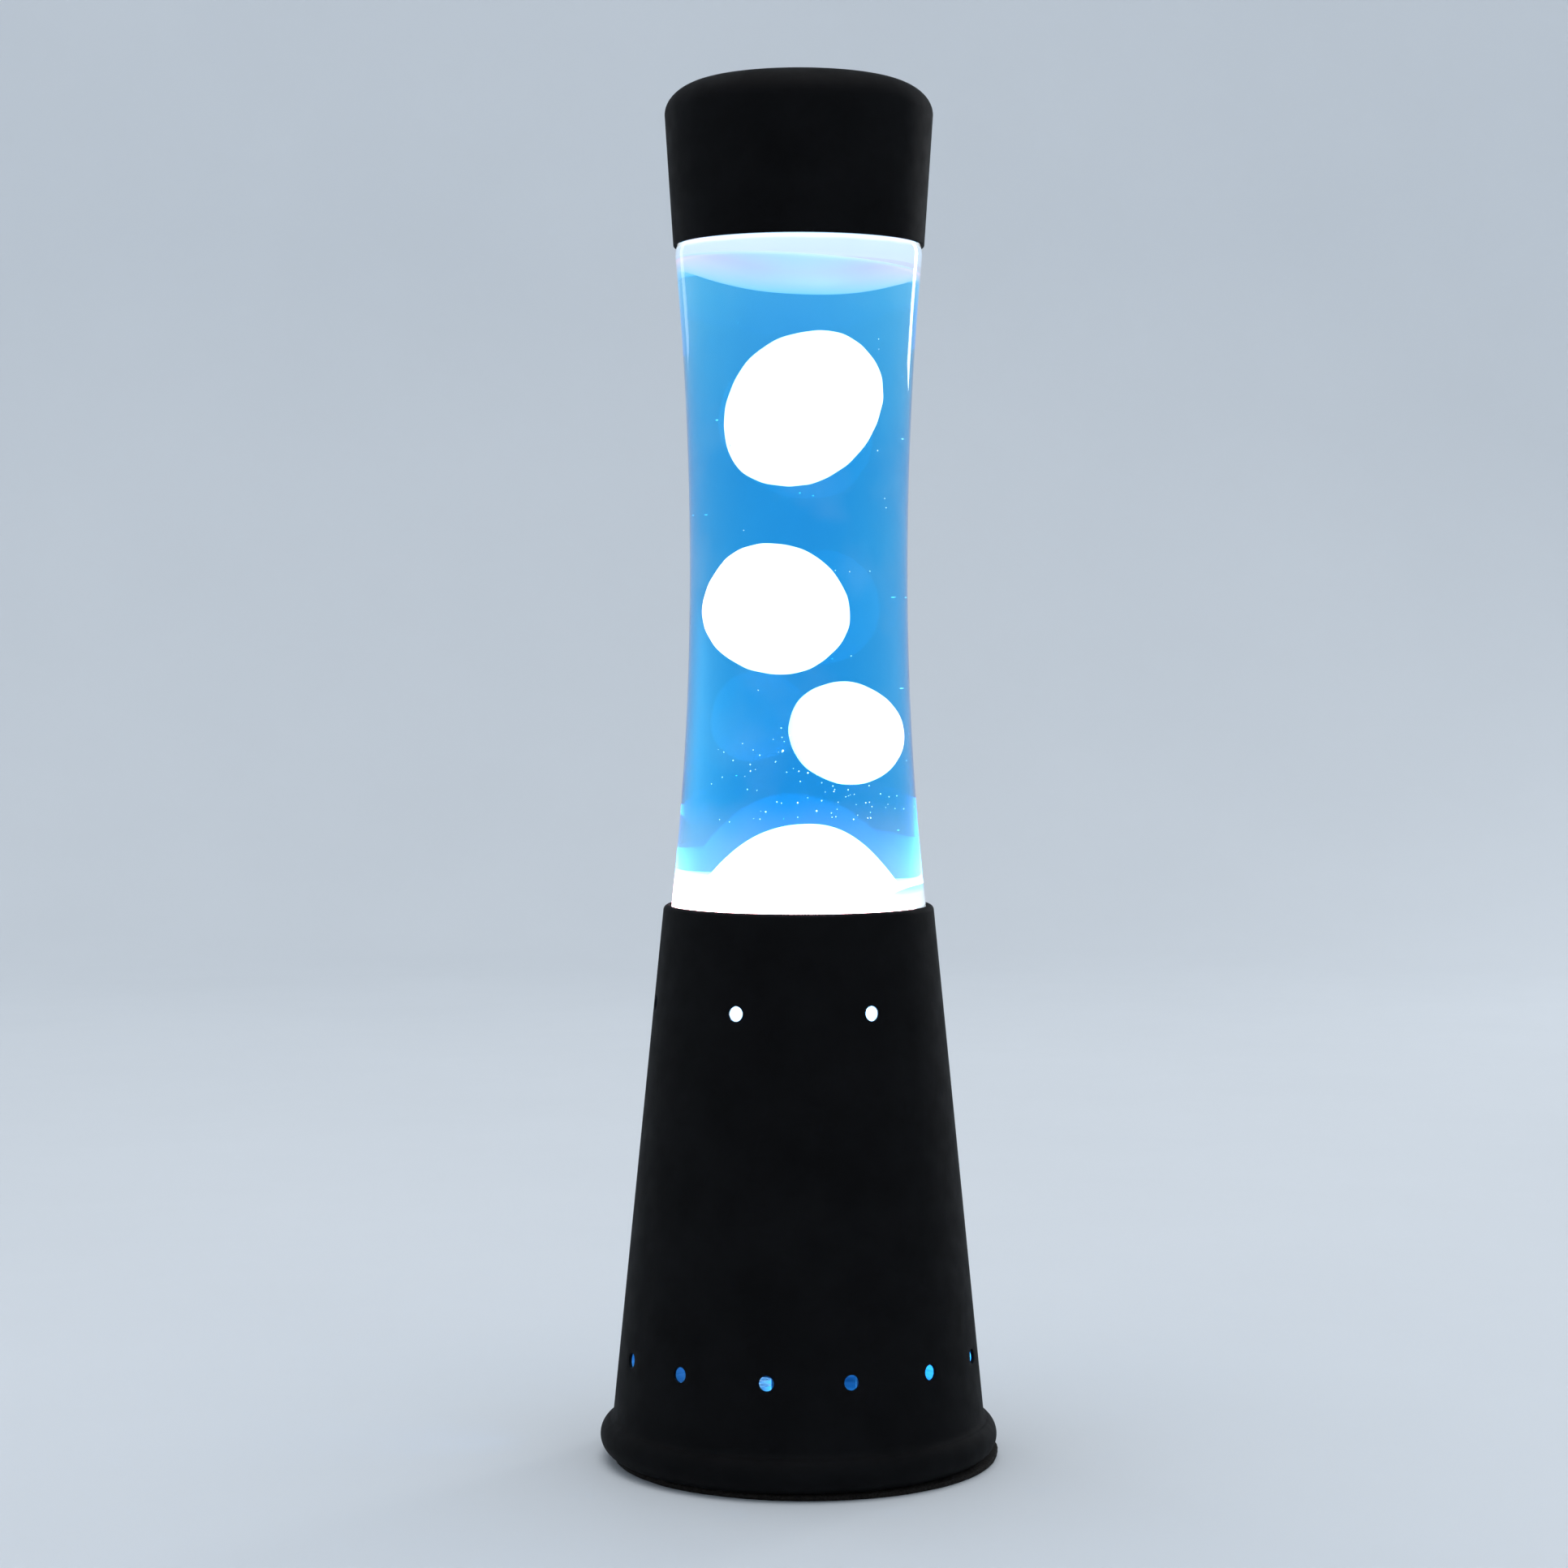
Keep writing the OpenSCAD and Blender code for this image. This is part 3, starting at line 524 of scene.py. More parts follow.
def bubble_glint():
    """Pale specks that catch the light in the liquid."""
    s = Shader("bubble_glint")
    s.color(s.ramp(s.noise(500), [(0.3, (0.7, 0.85, 0.95)), (0.7, (0.9, 0.95, 1.0))]))
    s.glow(s.ramp(s.noise(700), [(0.3, (0.5, 0.75, 1.0)), (0.7, (0.9, 0.95, 1.0))]), BUBBLE_GLOW)
    s.rough(s.noise(900), 0.1, 0.2)
    return s.material


# Heights between which the bulb's silver gives way to its frosted face
FACE_EDGE = (0.1135, 0.1165)
FACE_GLOW = 14.0


def frosted_bulb():
    """Reflector bulb: a glowing frosted face and a silvered body."""
    s = Shader("bulb_glass")
    face = s.spread(s.height(), 0, 1, *FACE_EDGE)
    grain = s.noise(900, 3)
    s.color(s.ramp(grain, [(0.3, (0.78, 0.80, 0.82)), (0.7, (0.86, 0.88, 0.90))]))
    s.link(s.spread(face, 0.85, 0.0, 0, 1), s.bsdf.inputs["Metallic"])
    s.rough(grain, 0.22, 0.4)
    s.glow(s.ramp(face, [(0.0, (0.012, 0.022, 0.04)), (1.0, (0.26, 0.66, 1.0))]), FACE_GLOW)
    s.bump(grain, 0.15, 0.00008)
    return s.material


def metal(name, color, rough, streak=(1, 1, 6)):
    """Worked metal: streaks that follow the way it was drawn or turned, and small stains."""
    s = Shader(name)
    streaks = s.noise(260, 4, vector=s.stretched(*streak))
    stains = s.noise(90, 3)
    dark = tuple(0.78 * c for c in color)
    s.color(s.ramp(s.math("MULTIPLY", streaks, s.math("ADD", stains, 0.5)), [(0.25, dark), (0.65, color)]))
    s.set(Metallic=1.0)
    s.rough(streaks, *rough)
    s.bump(streaks, 0.18, 0.00008)
    return s.material


def moulded(name, color, rough, grain=1400):
    """Moulded plastic or rubber: fine mould grain and slight flow shading."""
    s = Shader(name)
    flow = s.noise(70, 4)
    dark = tuple(0.82 * c for c in color)
    s.color(s.ramp(flow, [(0.3, dark), (0.7, color)]))
    s.rough(s.noise(220, 4), *rough)
    s.bump(s.noise(grain, 2), 0.2, 0.00006)
    return s.material


def foam(name):
    """Black closed-cell foam with a faintly brown, fuzzy cut edge."""
    s = Shader(name)
    cells = s.cells(1500)
    s.color(s.ramp(cells, [(0.1, (0.004, 0.0035, 0.003)), (0.8, (0.016, 0.013, 0.011))]))
    s.rough(s.noise(400, 3), 0.85, 0.97)
    s.set(Specular_IOR_Level=0.2)
    s.bump(cells, 0.8, 0.0003)
    return s.material


def striped_lead():
    """Green and yellow earth lead."""
    s = Shader("lead_green_yellow")
    split = s.add("ShaderNodeSeparateXYZ")
    s.link(s.place, split.inputs["Vector"])
    side = s.math("GREATER_THAN", split.outputs["X"], 0.0)
    s.color(s.ramp(side, [(0.4, (0.02, 0.22, 0.05)), (0.6, (0.75, 0.60, 0.03))]))
    s.rough(s.noise(300, 3), 0.35, 0.5)
    s.bump(s.noise(900, 2), 0.15, 0.00006)
    return s.material


def studio_paper():
    """Plain pale seamless floor and backdrop."""
    s = Shader("studio_paper")
    fibre = s.noise(6, 3)
    s.color(s.ramp(fibre, [(0.3, (0.72, 0.76, 0.80)), (0.7, (0.735, 0.775, 0.815))]))
    s.rough(s.noise(40, 3), 0.6, 0.7)
    s.set(Specular_IOR_Level=0.25)
    s.bump(s.noise(900, 3), 0.05, 0.0002)
    return s.material


coat = powder_coat()
inside = spun_inside()
glass = bottle_glass()
liquid = blue_liquid()
wax = glowing_wax()
wax_hot = mound_wax()
# The layer's glow is painted light under the liquid's surface
layer = painted_glow_layer()
bulb_glass = frosted_bulb()
foam_black = foam("foam_black")
# The plates' blue tint is painted light, for the blue glow inside the base
steel = metal("plate_steel", (0.34, 0.42, 0.52), (0.34, 0.5))
zinc = metal("screw_steel", (0.66, 0.67, 0.68), (0.24, 0.4))
tin = metal("crown_tin", (0.70, 0.71, 0.72), (0.16, 0.3), streak=(5, 1, 1))
cap_metal = metal("bulb_cap_metal", (0.72, 0.70, 0.62), (0.2, 0.35))
brass = metal("brass", (0.72, 0.50, 0.22), (0.22, 0.4))
rubber = moulded("rubber_black", (0.012, 0.012, 0.013), (0.6, 0.8))
phenolic = moulded("phenolic_black", (0.02, 0.016, 0.014), (0.22, 0.36))
white_plastic = moulded("terminal_white", (0.72, 0.70, 0.64), (0.35, 0.5))
lead_brown = moulded("lead_brown", (0.12, 0.045, 0.018), (0.35, 0.5))
lead_blue = moulded("lead_blue", (0.02, 0.10, 0.42), (0.35, 0.5))
lead_earth = striped_lead()
liner_white = moulded("liner_white", (0.75, 0.75, 0.71), (0.5, 0.65))
tungsten = metal("tungsten", (0.5, 0.48, 0.46), (0.3, 0.5))

CARRIED = {
    "bottom_plate": steel, "bottle_seat": steel, "holder_bracket": steel,
    "plate_screws": zinc, "plate_nuts": zinc, "bracket_rivets": zinc, "holder_nipple": zinc,
    "holder_nut": zinc, "terminal_screws": zinc, "block_screws": zinc, "earth_tag": zinc,
    "bulb_support_wires": zinc, "wax_coil": zinc,
    "seat_gasket": rubber, "cord_grommet": rubber,
    "holder_body": phenolic, "bulb_insulator": phenolic,
    "holder_screw_shell": brass, "holder_centre_contact": brass, "terminal_tubes": brass,
    "earth_screw": brass,
    "terminal_block": white_plastic, "lead_live": lead_brown, "lead_neutral": lead_blue,
    "lead_earth": lead_earth,
    "bulb_screw_cap": cap_metal, "bulb_contact": cap_metal, "bulb_stem": liner_white,
    "bulb_filament": tungsten, "crown_liner": liner_white,
}


def dress_carried_nodes():
    """Gives every CAD node that stays its finish."""
    for name, material in CARRIED.items():
        for material_slot in nodes[name].material_slots:
            material_slot.material = material


# ---------------------------------------------------------------- base shell

COLUMNS = 288
COLUMN = 360 / COLUMNS
LOW_TURNS = [-66.8, -40.1, -10.2, 16.3, 45.3, 73.2, 104.6, 136.1, 167.5, 198.9, 230.3, 261.8]
HIGH_TURNS = [-80, -25.3, 29.4, 92, 154.7, 217.4]
LOW_VENTS = {"z": 32.2, "r": 2.15, "half": 3.6, "columns": 4, "turns": LOW_TURNS}
HIGH_VENTS = {"z": 134.0, "r": 2.15, "half": 3.4, "columns": 4, "turns": HIGH_TURNS}
CORD_HOLE = {"z": 21.0, "r": 4.25, "half": 5.4, "columns": 5, "turns": [180.0]}
HOLES = [CORD_HOLE, LOW_VENTS, HIGH_VENTS]
CONE_STEP = 4.5
CONE_ROOM = 0.3
# Radius and depth of the rings that soften the edge of a hole
HOLE_EDGE = [(0.28, 0.0), (0.08, 0.08), (0.0, 0.26), (0.0, SHEET - 0.16), (0.14, SHEET)]


def cone_heights(start, end):
    """Heights of the mesh rows on the cone, and the rows that each ring of holes spans."""
    heights = [start]
    spans = []
    for hole in HOLES:
        low, high = hole["z"] - hole["half"], hole["z"] + hole["half"]
        steps = max(1, round((low - heights[-1]) / CONE_STEP))
        heights += spaced(heights[-1], low, steps)[1:]
        first_row = len(heights) - 1
        heights += spaced(low, high, 2 * hole["columns"])[1:]
        spans.append((first_row, len(heights) - 1))
    heights += spaced(heights[-1], end, round((end - heights[-1]) / CONE_STEP))[1:]
    return heights, spans


def base_line(inset, heights, bead_turn, fillet, rim):
    """The base from the lip under its foot to its rim, moved in by a part of the sheet."""
    bead_start = -180 + degrees(asin((BEAD_Z - LIP_Z - inset) / (BEAD_R - inset)))
    tilt = radians(CONE_TILT)
    line = [(LIP_R, LIP_Z + inset)]
    line += arc(BEAD_X, BEAD_Z, BEAD_R - inset, bead_start, bead_turn, 30)
    line += arc(*fillet, FILLET_R + inset, bead_turn + 180, CONE_TILT + 180, 8)
    first = len(line)
    line += [(cone_r(z) - inset * cos(tilt), z - inset * sin(tilt)) for z in heights]
    line += arc(*rim, RIM_EDGE_R - inset, CONE_TILT, 90, 10)
    line += [(RIM_INNER_R, RIM_Z - RIM_DROP - inset)]
    return line, first


def window_loop(grid, rows, columns):
    """Vertices round a rectangle of the mesh, from its lower left corner."""
    (low, high), (left, right) = rows, columns
    loop = [grid[low][i % COLUMNS] for i in range(left, right)]
    loop += [grid[j][right % COLUMNS] for j in range(low, high)]
    loop += [grid[high][i % COLUMNS] for i in range(right, left, -1)]
    loop += [grid[j][left % COLUMNS] for j in range(high, low, -1)]
    return loop


def drill(bm, grids, hole, azimuth, rows, columns):
    """Joins both faces of the sheet through one round hole."""
    tilt = radians(CONE_TILT)
    rings = [window_loop(grids[0], rows, columns)]
    count = len(rings[0])
    for grow, depth in HOLE_EDGE:
        ring = []
        for i in range(count):
            a = radians(-135 + 360 * i / count)
            z = hole["z"] + (hole["r"] + grow) * sin(a) * cos(tilt)
            turn = azimuth + degrees((hole["r"] + grow) * cos(a) / cone_r(hole["z"]))
            ring.append(bm.verts.new(around(cone_r(z) - depth * cos(tilt), z - depth * sin(tilt), turn)))
        rings.append(ring)
    rings.append(window_loop(grids[1], rows, columns))
    for a, b in zip(rings, rings[1:]):
        for i in range(count):
            k = (i + 1) % count
            bm.faces.new((a[i], a[k], b[k], b[i]))


def spun_base():
    """Base shell of spun sheet: bead, cone, vents with softened edges and rolled rim."""
    tilt = radians(CONE_TILT)
    reach = CONE_FLOOR_R * cos(tilt) + FILLET_R - BEAD_X * cos(tilt) - BEAD_Z * sin(tilt)
    bead_turn = CONE_TILT + degrees(acos(reach / (BEAD_R + FILLET_R)))
    fillet = arc(BEAD_X, BEAD_Z, BEAD_R + FILLET_R, bead_turn, bead_turn, 1)[0]
    rim_z = RIM_Z - RIM_EDGE_R
    rim = ((CONE_FLOOR_R * cos(tilt) - RIM_EDGE_R - rim_z * sin(tilt)) / cos(tilt), rim_z)
    start = fillet[1] - FILLET_R * sin(tilt) + CONE_ROOM
    heights, spans = cone_heights(start, rim_z + RIM_EDGE_R * sin(tilt) - CONE_ROOM)
    bm = bmesh.new()
    grids = []
    for inset in (0.0, SHEET):
        line, first = base_line(inset, heights, bead_turn, fillet, rim)
        grids.append([[bm.verts.new(around(r, z, COLUMN * i)) for i in range(COLUMNS)] for r, z in line])
    windows = []
    cut = set()
    for hole, (low, high) in zip(HOLES, spans):
        rows = (first + low, first + high)
        for azimuth in hole["turns"]:
            middle = round(azimuth / COLUMN)
            columns = (middle - hole["columns"], middle + hole["columns"])
            windows.append((hole, azimuth, rows, columns))
            cut |= {(j, i % COLUMNS) for j in range(*rows) for i in range(*columns)}
    for side, grid in enumerate(grids):
        for j in range(len(grid) - 1):
            for i in range(COLUMNS):
                if (j, i) in cut:
                    continue
                k = (i + 1) % COLUMNS
                face = bm.faces.new((grid[j][i], grid[j][k], grid[j + 1][k], grid[j + 1][i]))
                face.material_index = side
    join_rings(bm, [grids[0][0], grids[1][0]])
    join_rings(bm, [grids[0][-1], grids[1][-1]])
    for hole, azimuth, rows, columns in windows:
        drill(bm, grids, hole, azimuth, rows, columns)
    piece = new_piece("spun_base", bm, [coat, inside], "base")
    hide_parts("base_shell")


# ---------------------------------------------------------------- cap

CAP_EDGE_R = 0.3
CAP_WALL_STEPS = 12
FOAM_EDGE_R = 0.9
FOAM_BULGE = 0.15
FOAM_RIPPLE = 0.08
FOAM_RIPPLES = 9


def cap_line(inset):
    height = cap_high.z
    line = [(CAP_LOW_R - inset, cap_low.z + (CAP_EDGE_R if inset == 0 else CAP_EDGE_R * 0.8))]
    for a in [radians(3.0 * i) for i in range(31)]:
        line.append((CAP_TOP_R - CAP_CORNER_W + (CAP_CORNER_W - inset) * cos(a),
                     height - CAP_CORNER_H + (CAP_CORNER_H - inset) * sin(a)))
    return line


def spun_cap():
    """Cap of spun sheet with a softly rounded top."""
    outer, inner = cap_line(0.0), cap_line(CAP_SHEET)
    edge = arc(CAP_LOW_R - CAP_SHEET / 2, cap_low.z + CAP_SHEET / 2, CAP_SHEET / 2, 180, 360, 6)
    wall = []
    (low_r, low_z), (high_r, high_z) = outer[:2]
    for i in range(1, CAP_WALL_STEPS):
        t = i / CAP_WALL_STEPS
        wall.append((low_r + (high_r - low_r) * t, low_z + (high_z - low_z) * t))
    wall_in = [(r - CAP_SHEET, z) for r, z in reversed(wall)]
    line = [(0, cap_high.z - CAP_SHEET)] + inner[::-1][:-1] + wall_in + edge + wall
    line += outer[1:] + [(0, cap_high.z)]
    bm = bmesh.new()
    lathe(bm, line, sides=256)
    piece = new_piece("spun_cap", bm, coat, "cap", sharp=50)
    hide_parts("top_cap")


def cap_foam():
    """Foam disc under the top of the cap, bulged a little at its cut edge."""
    r, low, high = cap_pad_high.x, cap_pad_low.z, cap_pad_high.z
    soft = FOAM_EDGE_R
    line = [(0, low)] + [(r * t, low) for t in (0.3, 0.6, 0.85)]
    line += arc(r - soft, low + soft, soft, -90, 0, 5)
    side = high - low - 2 * soft
    line += [(r + FOAM_BULGE * sin(pi * t), low + soft + side * t) for t in (0.25, 0.5, 0.75)]
    line += arc(r - soft, high - soft, soft, 0, 90, 5) + [(r * t, high) for t in (0.85, 0.6, 0.3)]
    line += [(0, high)]
    bm = bmesh.new()
    lathe(bm, line, sides=96,
          flutes=lambda step, turn: FOAM_RIPPLE * sin(radians(turn) * FOAM_RIPPLES + step))
    piece = new_piece("cap_foam", bm, foam_black, "cap")
    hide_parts("cap_pad")


# ---------------------------------------------------------------- bottle and crown cap

def blown_bottle():
    """Waisted glass bottle: punt, heel, waist, shoulder, neck and crown finish."""
    neck_turn = 180 + SHOULDER_TURN
    neck_z = SHOULDER_Z + NECK_RISE
    neck_x = NECK_R + NECK_ARC_R
    bead = 0.5
    line = [(0, BOTTLE_Z + PUNT_H)]
    line += [(PUNT_R * t, BOTTLE_Z + PUNT_H * (1 - t ** 4)) for t in (0.3, 0.5, 0.7, 0.85, 0.95, 1.0)]
    line += bottle_line(0)
    line += arc(neck_x, neck_z, NECK_ARC_R, neck_turn, 180, 12)
    line += [(NECK_R, FINISH_Z - FINISH_H - 1)]
    line += arc(FINISH_R - bead, FINISH_Z - FINISH_H, bead, -80, 0, 4)
    line += arc(FINISH_R - FINISH_EDGE_R, FINISH_Z - FINISH_EDGE_R, FINISH_EDGE_R, 0, 90, 6)
    line += arc(NECK_BORE_R + bead, FINISH_Z - bead, bead, 90, 180, 4)
    line += [(NECK_BORE_R, FINISH_Z - 10), (NECK_BORE_R + 1, FINISH_Z - 12)]
    line += arc(neck_x - NECK_WALL, neck_z - 1, NECK_ARC_R + 1, 180, neck_turn, 12)
    line += bottle_line(GLASS)[::-1] + [(0, BOTTLE_Z + BOTTLE_FLOOR)]
    bm = bmesh.new()
    lathe(bm, line)
    piece = new_piece("blown_bottle", bm, glass, "bottle", sharp=60)
    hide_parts("glass_bottle")


FLUTES = 21
FLUTE_SIDES = 12


def crimped_crown():
    """Crown cap: a pressed disc whose skirt is crimped into flutes."""
    top, low = crown_high.z, crown_low.z
    skirt = [(12.2, top, 0), (13.0, top - 0.2, 0), (13.7, top - 0.8, 0), (14.1, top - 1.6, 0.06),
             (14.5, top - 2.6, 0.25), (15.0, top - 3.8, 0.48), (15.5, top - 4.9, 0.62), (15.75, low, 0.66)]
    thick = 0.28
    outer = [(0, top, 0), (6, top, 0)] + skirt
    inner = [(r - thick, z - (thick if r < 13.5 else 0), f) for r, z, f in reversed(skirt)]
    profile = outer + inner + [(6, top - thick, 0), (0, top - thick, 0)]
    depth = [f for _, _, f in profile]
    bm = bmesh.new()
    lathe(bm, [(r, z) for r, z, _ in profile], sides=FLUTES * FLUTE_SIDES,
          flutes=lambda step, turn: depth[step] * cos(radians(turn) * FLUTES))
    piece = new_piece("crimped_crown", bm, tin, "bottle", sharp=60)
    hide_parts("crown_cap")


# ---------------------------------------------------------------- liquid

LIQUID_LAP = 0.08
MENISCUS = [(0.0, 1.3), (0.45, 0.6), (1.3, 0.18), (3.0, 0.0)]


def liquid_body():
    """The liquid, lapped just into the glass so that no air shows between them."""
    wall = [(r, z) for r, z in bottle_line(GLASS - LIQUID_LAP) if z < LIQUID_Z]
    top_r = inner_r(LIQUID_Z) + LIQUID_LAP
    line = [(0, BOTTLE_Z + BOTTLE_FLOOR - LIQUID_LAP)] + wall
    line += [(top_r - back, LIQUID_Z + up) for back, up in MENISCUS]
    line += [(top_r * t, LIQUID_Z) for t in (0.6, 0.3, 0)]
    bm = bmesh.new()
    lathe(bm, line)
    piece = new_piece("liquid_body", bm, liquid, "bottle", sharp=80)
    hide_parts("liquid")


LAYER_TIP_Z = 339.4
LAYER_RISE = 6.9
LAYER_TILT = 2.1
LAYER_EDGE_Z = 349.0
LAYER_POWER = 2.5
LAYER_FLAT_FROM = 1.06
LAYER_RINGS = 32
# Share of the bottle's radius that fills the view, as the liquid widens what is in it
SEEN_SHARE = 0.746
LAYER_ROOM = 0.12
LAYER_SINK = 0.4


def layer_under(x, y):
    """Height of the underside of the pale layer of painted light: bowed down, and a little lower at its
    right.
    """
    wall_r = inner_r(LAYER_EDGE_Z)
    reach = min(LAYER_FLAT_FROM, hypot(x, y) / (wall_r * SEEN_SHARE))
    return LAYER_TIP_Z + LAYER_RISE * reach ** LAYER_POWER - LAYER_TILT * x / wall_r


def top_glow_layer():
    """The pale sheet of painted light that hangs from the surface of the liquid."""
    top = LIQUID_Z - LAYER_SINK
    wall_r = inner_r(LAYER_EDGE_Z) - LAYER_ROOM
    bm = bmesh.new()
    rings = [[bm.verts.new((0, 0, layer_under(0, 0) * MM))]]
    for step in range(1, LAYER_RINGS + 1):
        ring = []
        for i in range(SIDES):
            spot = around(wall_r * step / LAYER_RINGS, 0, 360 * i / SIDES) / MM
            ring.append(bm.verts.new(Vector((spot.x, spot.y, layer_under(spot.x, spot.y))) * MM))
        rings.append(ring)
    for z in spaced(LAYER_EDGE_Z + LAYER_TILT, top, 4):
        edge_r = inner_r(z) - LAYER_ROOM
        rings.append([bm.verts.new(around(edge_r, z, 360 * i / SIDES)) for i in range(SIDES)])
    rings.append([bm.verts.new((0, 0, top * MM))])
    join_rings(bm, rings)
    new_piece("top_glow_layer", bm, layer, "bottle", sharp=50)


# ---------------------------------------------------------------- wax

BLOBS = [
    # node, body, half length, half width, lean to +X, egg, lump, seed
    ("wax_drop_top", "wax_top", 23.2, 16.7, 17, 0.03, 0.035, 3.1),
    ("wax_drop_middle", "wax_middle", 18.9, 16.4, -9, -0.04, 0.03, 7.7),
    ("wax_drop_low", "wax_low", 15.1, 12.4, -11, -0.02, 0.02, 12.4),
]
LUMP_SCALE = 1.5
DENT_SCALE = 4.5
DENT_SHARE = 0.3


def wax_blob(node, body, half_length, half_width, lean, egg, lump, seed):
    """A rising drop of wax: a leaning egg with soft uneven lumps."""
    low, high = node_box(node)
    centre = (low + high) / 2
    turn = Matrix.Rotation(radians(lean), 3, "Y")
    bm = bmesh.new()
    bmesh.ops.create_icosphere(bm, subdivisions=6, radius=1)
    for vert in bm.verts:
        d = vert.co.normalized()
        wobble = 1 + lump * noise.noise(d * LUMP_SCALE + Vector((seed, 0, 0)))
        wobble += DENT_SHARE * lump * noise.noise(d * DENT_SCALE + Vector((0, seed, 0)))
        swell = half_width * (1 + egg * d.z)
        spot = Vector((d.x * swell, d.y * swell, d.z * half_length)) * wobble
        vert.co = (centre + turn @ spot) * MM
    piece = new_piece(node.replace("drop", "blob"), bm, wax, body, sharp=180)
    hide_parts(node)


POOL_LEFT_Z = 168.9
POOL_RIGHT_Z = 166.6
MOUND_TOP_Z = pool_high.z
MOUND_X = 1.5
MOUND_H = 17.5
MOUND_DEPTH_R = 22.0
# Reach and power of the mound's slope, left and right of its top
MOUND_LEFT = (22.0, 2.3)
MOUND_RIGHT = (19.7, 2.45)
MOUND_SOFT = 1.2
POOL_RIPPLE = 0.25
RIPPLE_SCALE = 0.09
WAX_ROOM = 0.12


def pool_top(x, y):
    """Height of the wax at the bottom: a mound on a pool that is lower at its right."""
    level = POOL_LEFT_Z + (POOL_RIGHT_Z - POOL_LEFT_Z) * blend(x, 2, 18)
    side, power = MOUND_LEFT if x < MOUND_X else MOUND_RIGHT
    reach = hypot((x - MOUND_X) / side, y / MOUND_DEPTH_R)
    mound = MOUND_TOP_Z - MOUND_H * reach ** power
    ripple = POOL_RIPPLE * noise.noise(Vector((x, y, 0)) * RIPPLE_SCALE)
    gap = mound - level
    return level + 0.5 * (gap + sqrt(gap * gap + MOUND_SOFT)) - 0.5 * sqrt(MOUND_SOFT) + ripple


def wax_mound():
    """Wax at the bottom of the bottle, from its floor up to the mound."""
    floor = BOTTLE_Z + BOTTLE_FLOOR + WAX_ROOM
    wall = [(r, z) for r, z in bottle_line(GLASS + WAX_ROOM) if z < POOL_RIGHT_Z - 2]
    bm = bmesh.new()
    rings = [[bm.verts.new((0, 0, floor * MM))]]
    for r, z in wall:
        rings.append([bm.verts.new(around(r, z, 360 * i / SIDES)) for i in range(SIDES)])
    steps = 44
    for step in range(steps, 0, -1):
        ring = []
        for i in range(SIDES):
            reach = (inner_r(POOL_LEFT_Z) - WAX_ROOM - 0.05) * step / steps
            spot = around(reach, 0, 360 * i / SIDES) / MM
            ring.append(bm.verts.new(Vector((spot.x, spot.y, pool_top(spot.x, spot.y))) * MM))
        rings.append(ring)
    rings.append([bm.verts.new((0, 0, pool_top(0, 0) * MM))])
    join_rings(bm, rings)
    piece = new_piece("wax_mound", bm, wax_hot, "bottle", sharp=70)
    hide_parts("wax_pool")


BUBBLES = 170
CROWDED = 110
CROWD_SPAN = (188, 214)
BUBBLE_SPAN = (175, 335)
BUBBLE_SIZES = (0.09, 0.20)


def tiny_bubbles():
    """Specks and tiny bubbles in the liquid, thickest between the low drop and the mound."""
    draw = random.Random(11)
    bm = bmesh.new()
    for i in range(BUBBLES):
        crowded = i < CROWDED
        z = draw.uniform(*(CROWD_SPAN if crowded else BUBBLE_SPAN))
        azimuth = draw.gauss(15, 30) if crowded else draw.uniform(-60, 60) + 180 * (i % 2)
        r = inner_r(z) - draw.uniform(0.6, 9)
        size = draw.uniform(*BUBBLE_SIZES) * (1.6 if draw.random() < 0.08 else 1)
        bmesh.ops.create_icosphere(bm, subdivisions=2, radius=size * MM,
                                   matrix=Matrix.Translation(around(r, z, azimuth)))
    new_piece("tiny_bubbles", bm, bubble_glint(), "bottle", sharp=180)


# ---------------------------------------------------------------- bulb

BULB_NECK_R = 8.2
BULB_NECK_H = 6.0
BULB_FACE_H = 10.0
BULB_FLARE = 0.8
BULB_GLASS = 0.8


def bulb_line(inset):
    """The bulb's glass from its neck to the middle of its face."""
    half = bulb_high.x
    neck_z, edge_z, top_z = bulb_low.z + BULB_NECK_H, bulb_high.z - BULB_FACE_H, bulb_high.z
    line = [(BULB_NECK_R - inset, bulb_low.z)]
    for z in spaced(neck_z, edge_z, 24):
        flare = sin(pi / 2 * (z - neck_z) / (edge_z - neck_z)) ** BULB_FLARE
        line.append((BULB_NECK_R + (half - BULB_NECK_R) * flare - inset, z))
    for a in [radians(5 * i) for i in range(1, 18)]:
        line.append(((half - inset) * cos(a), edge_z + (top_z - edge_z - inset) * sin(a)))
    return line + [(0, top_z - inset)]


def reflector_bulb():
    """Reflector bulb with a frosted face and a silvered flare."""
    bm = bmesh.new()
    lathe(bm, bulb_line(BULB_GLASS)[::-1] + bulb_line(0), sides=128)
    piece = new_piece("reflector_bulb", bm, bulb_glass, "bulb", sharp=60)
    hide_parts("bulb_envelope")


# ---------------------------------------------------------------- foot pad

PAD_SHIFT = Vector((1.8, 0.8, 0))
PAD_OUTER_R = 56.0
PAD_INNER_R = 42.4
SCREW_CIRCLE_R = 45.5
SCREW_CLEAR_R = 3.35
FLAP_AZIMUTH = 96.0
FLAP_TURN = 9
FLAP_REACH = 1.05
FLAP_LIFT = 0.6
FOOT_SIDES = 540
FOOT_WAVE = 0.3
FOOT_FUZZ = 0.13


def pad_inner_edge(azimuth):
    """Inner edge of the foam ring, with a scallop round each plate screw."""
    away = abs((azimuth - 45) % 90)
    away = radians(min(away, 90 - away)) * SCREW_CIRCLE_R
    if away >= SCREW_CLEAR_R:
        return PAD_INNER_R
    return max(PAD_INNER_R, SCREW_CIRCLE_R + sqrt(SCREW_CLEAR_R ** 2 - away ** 2))


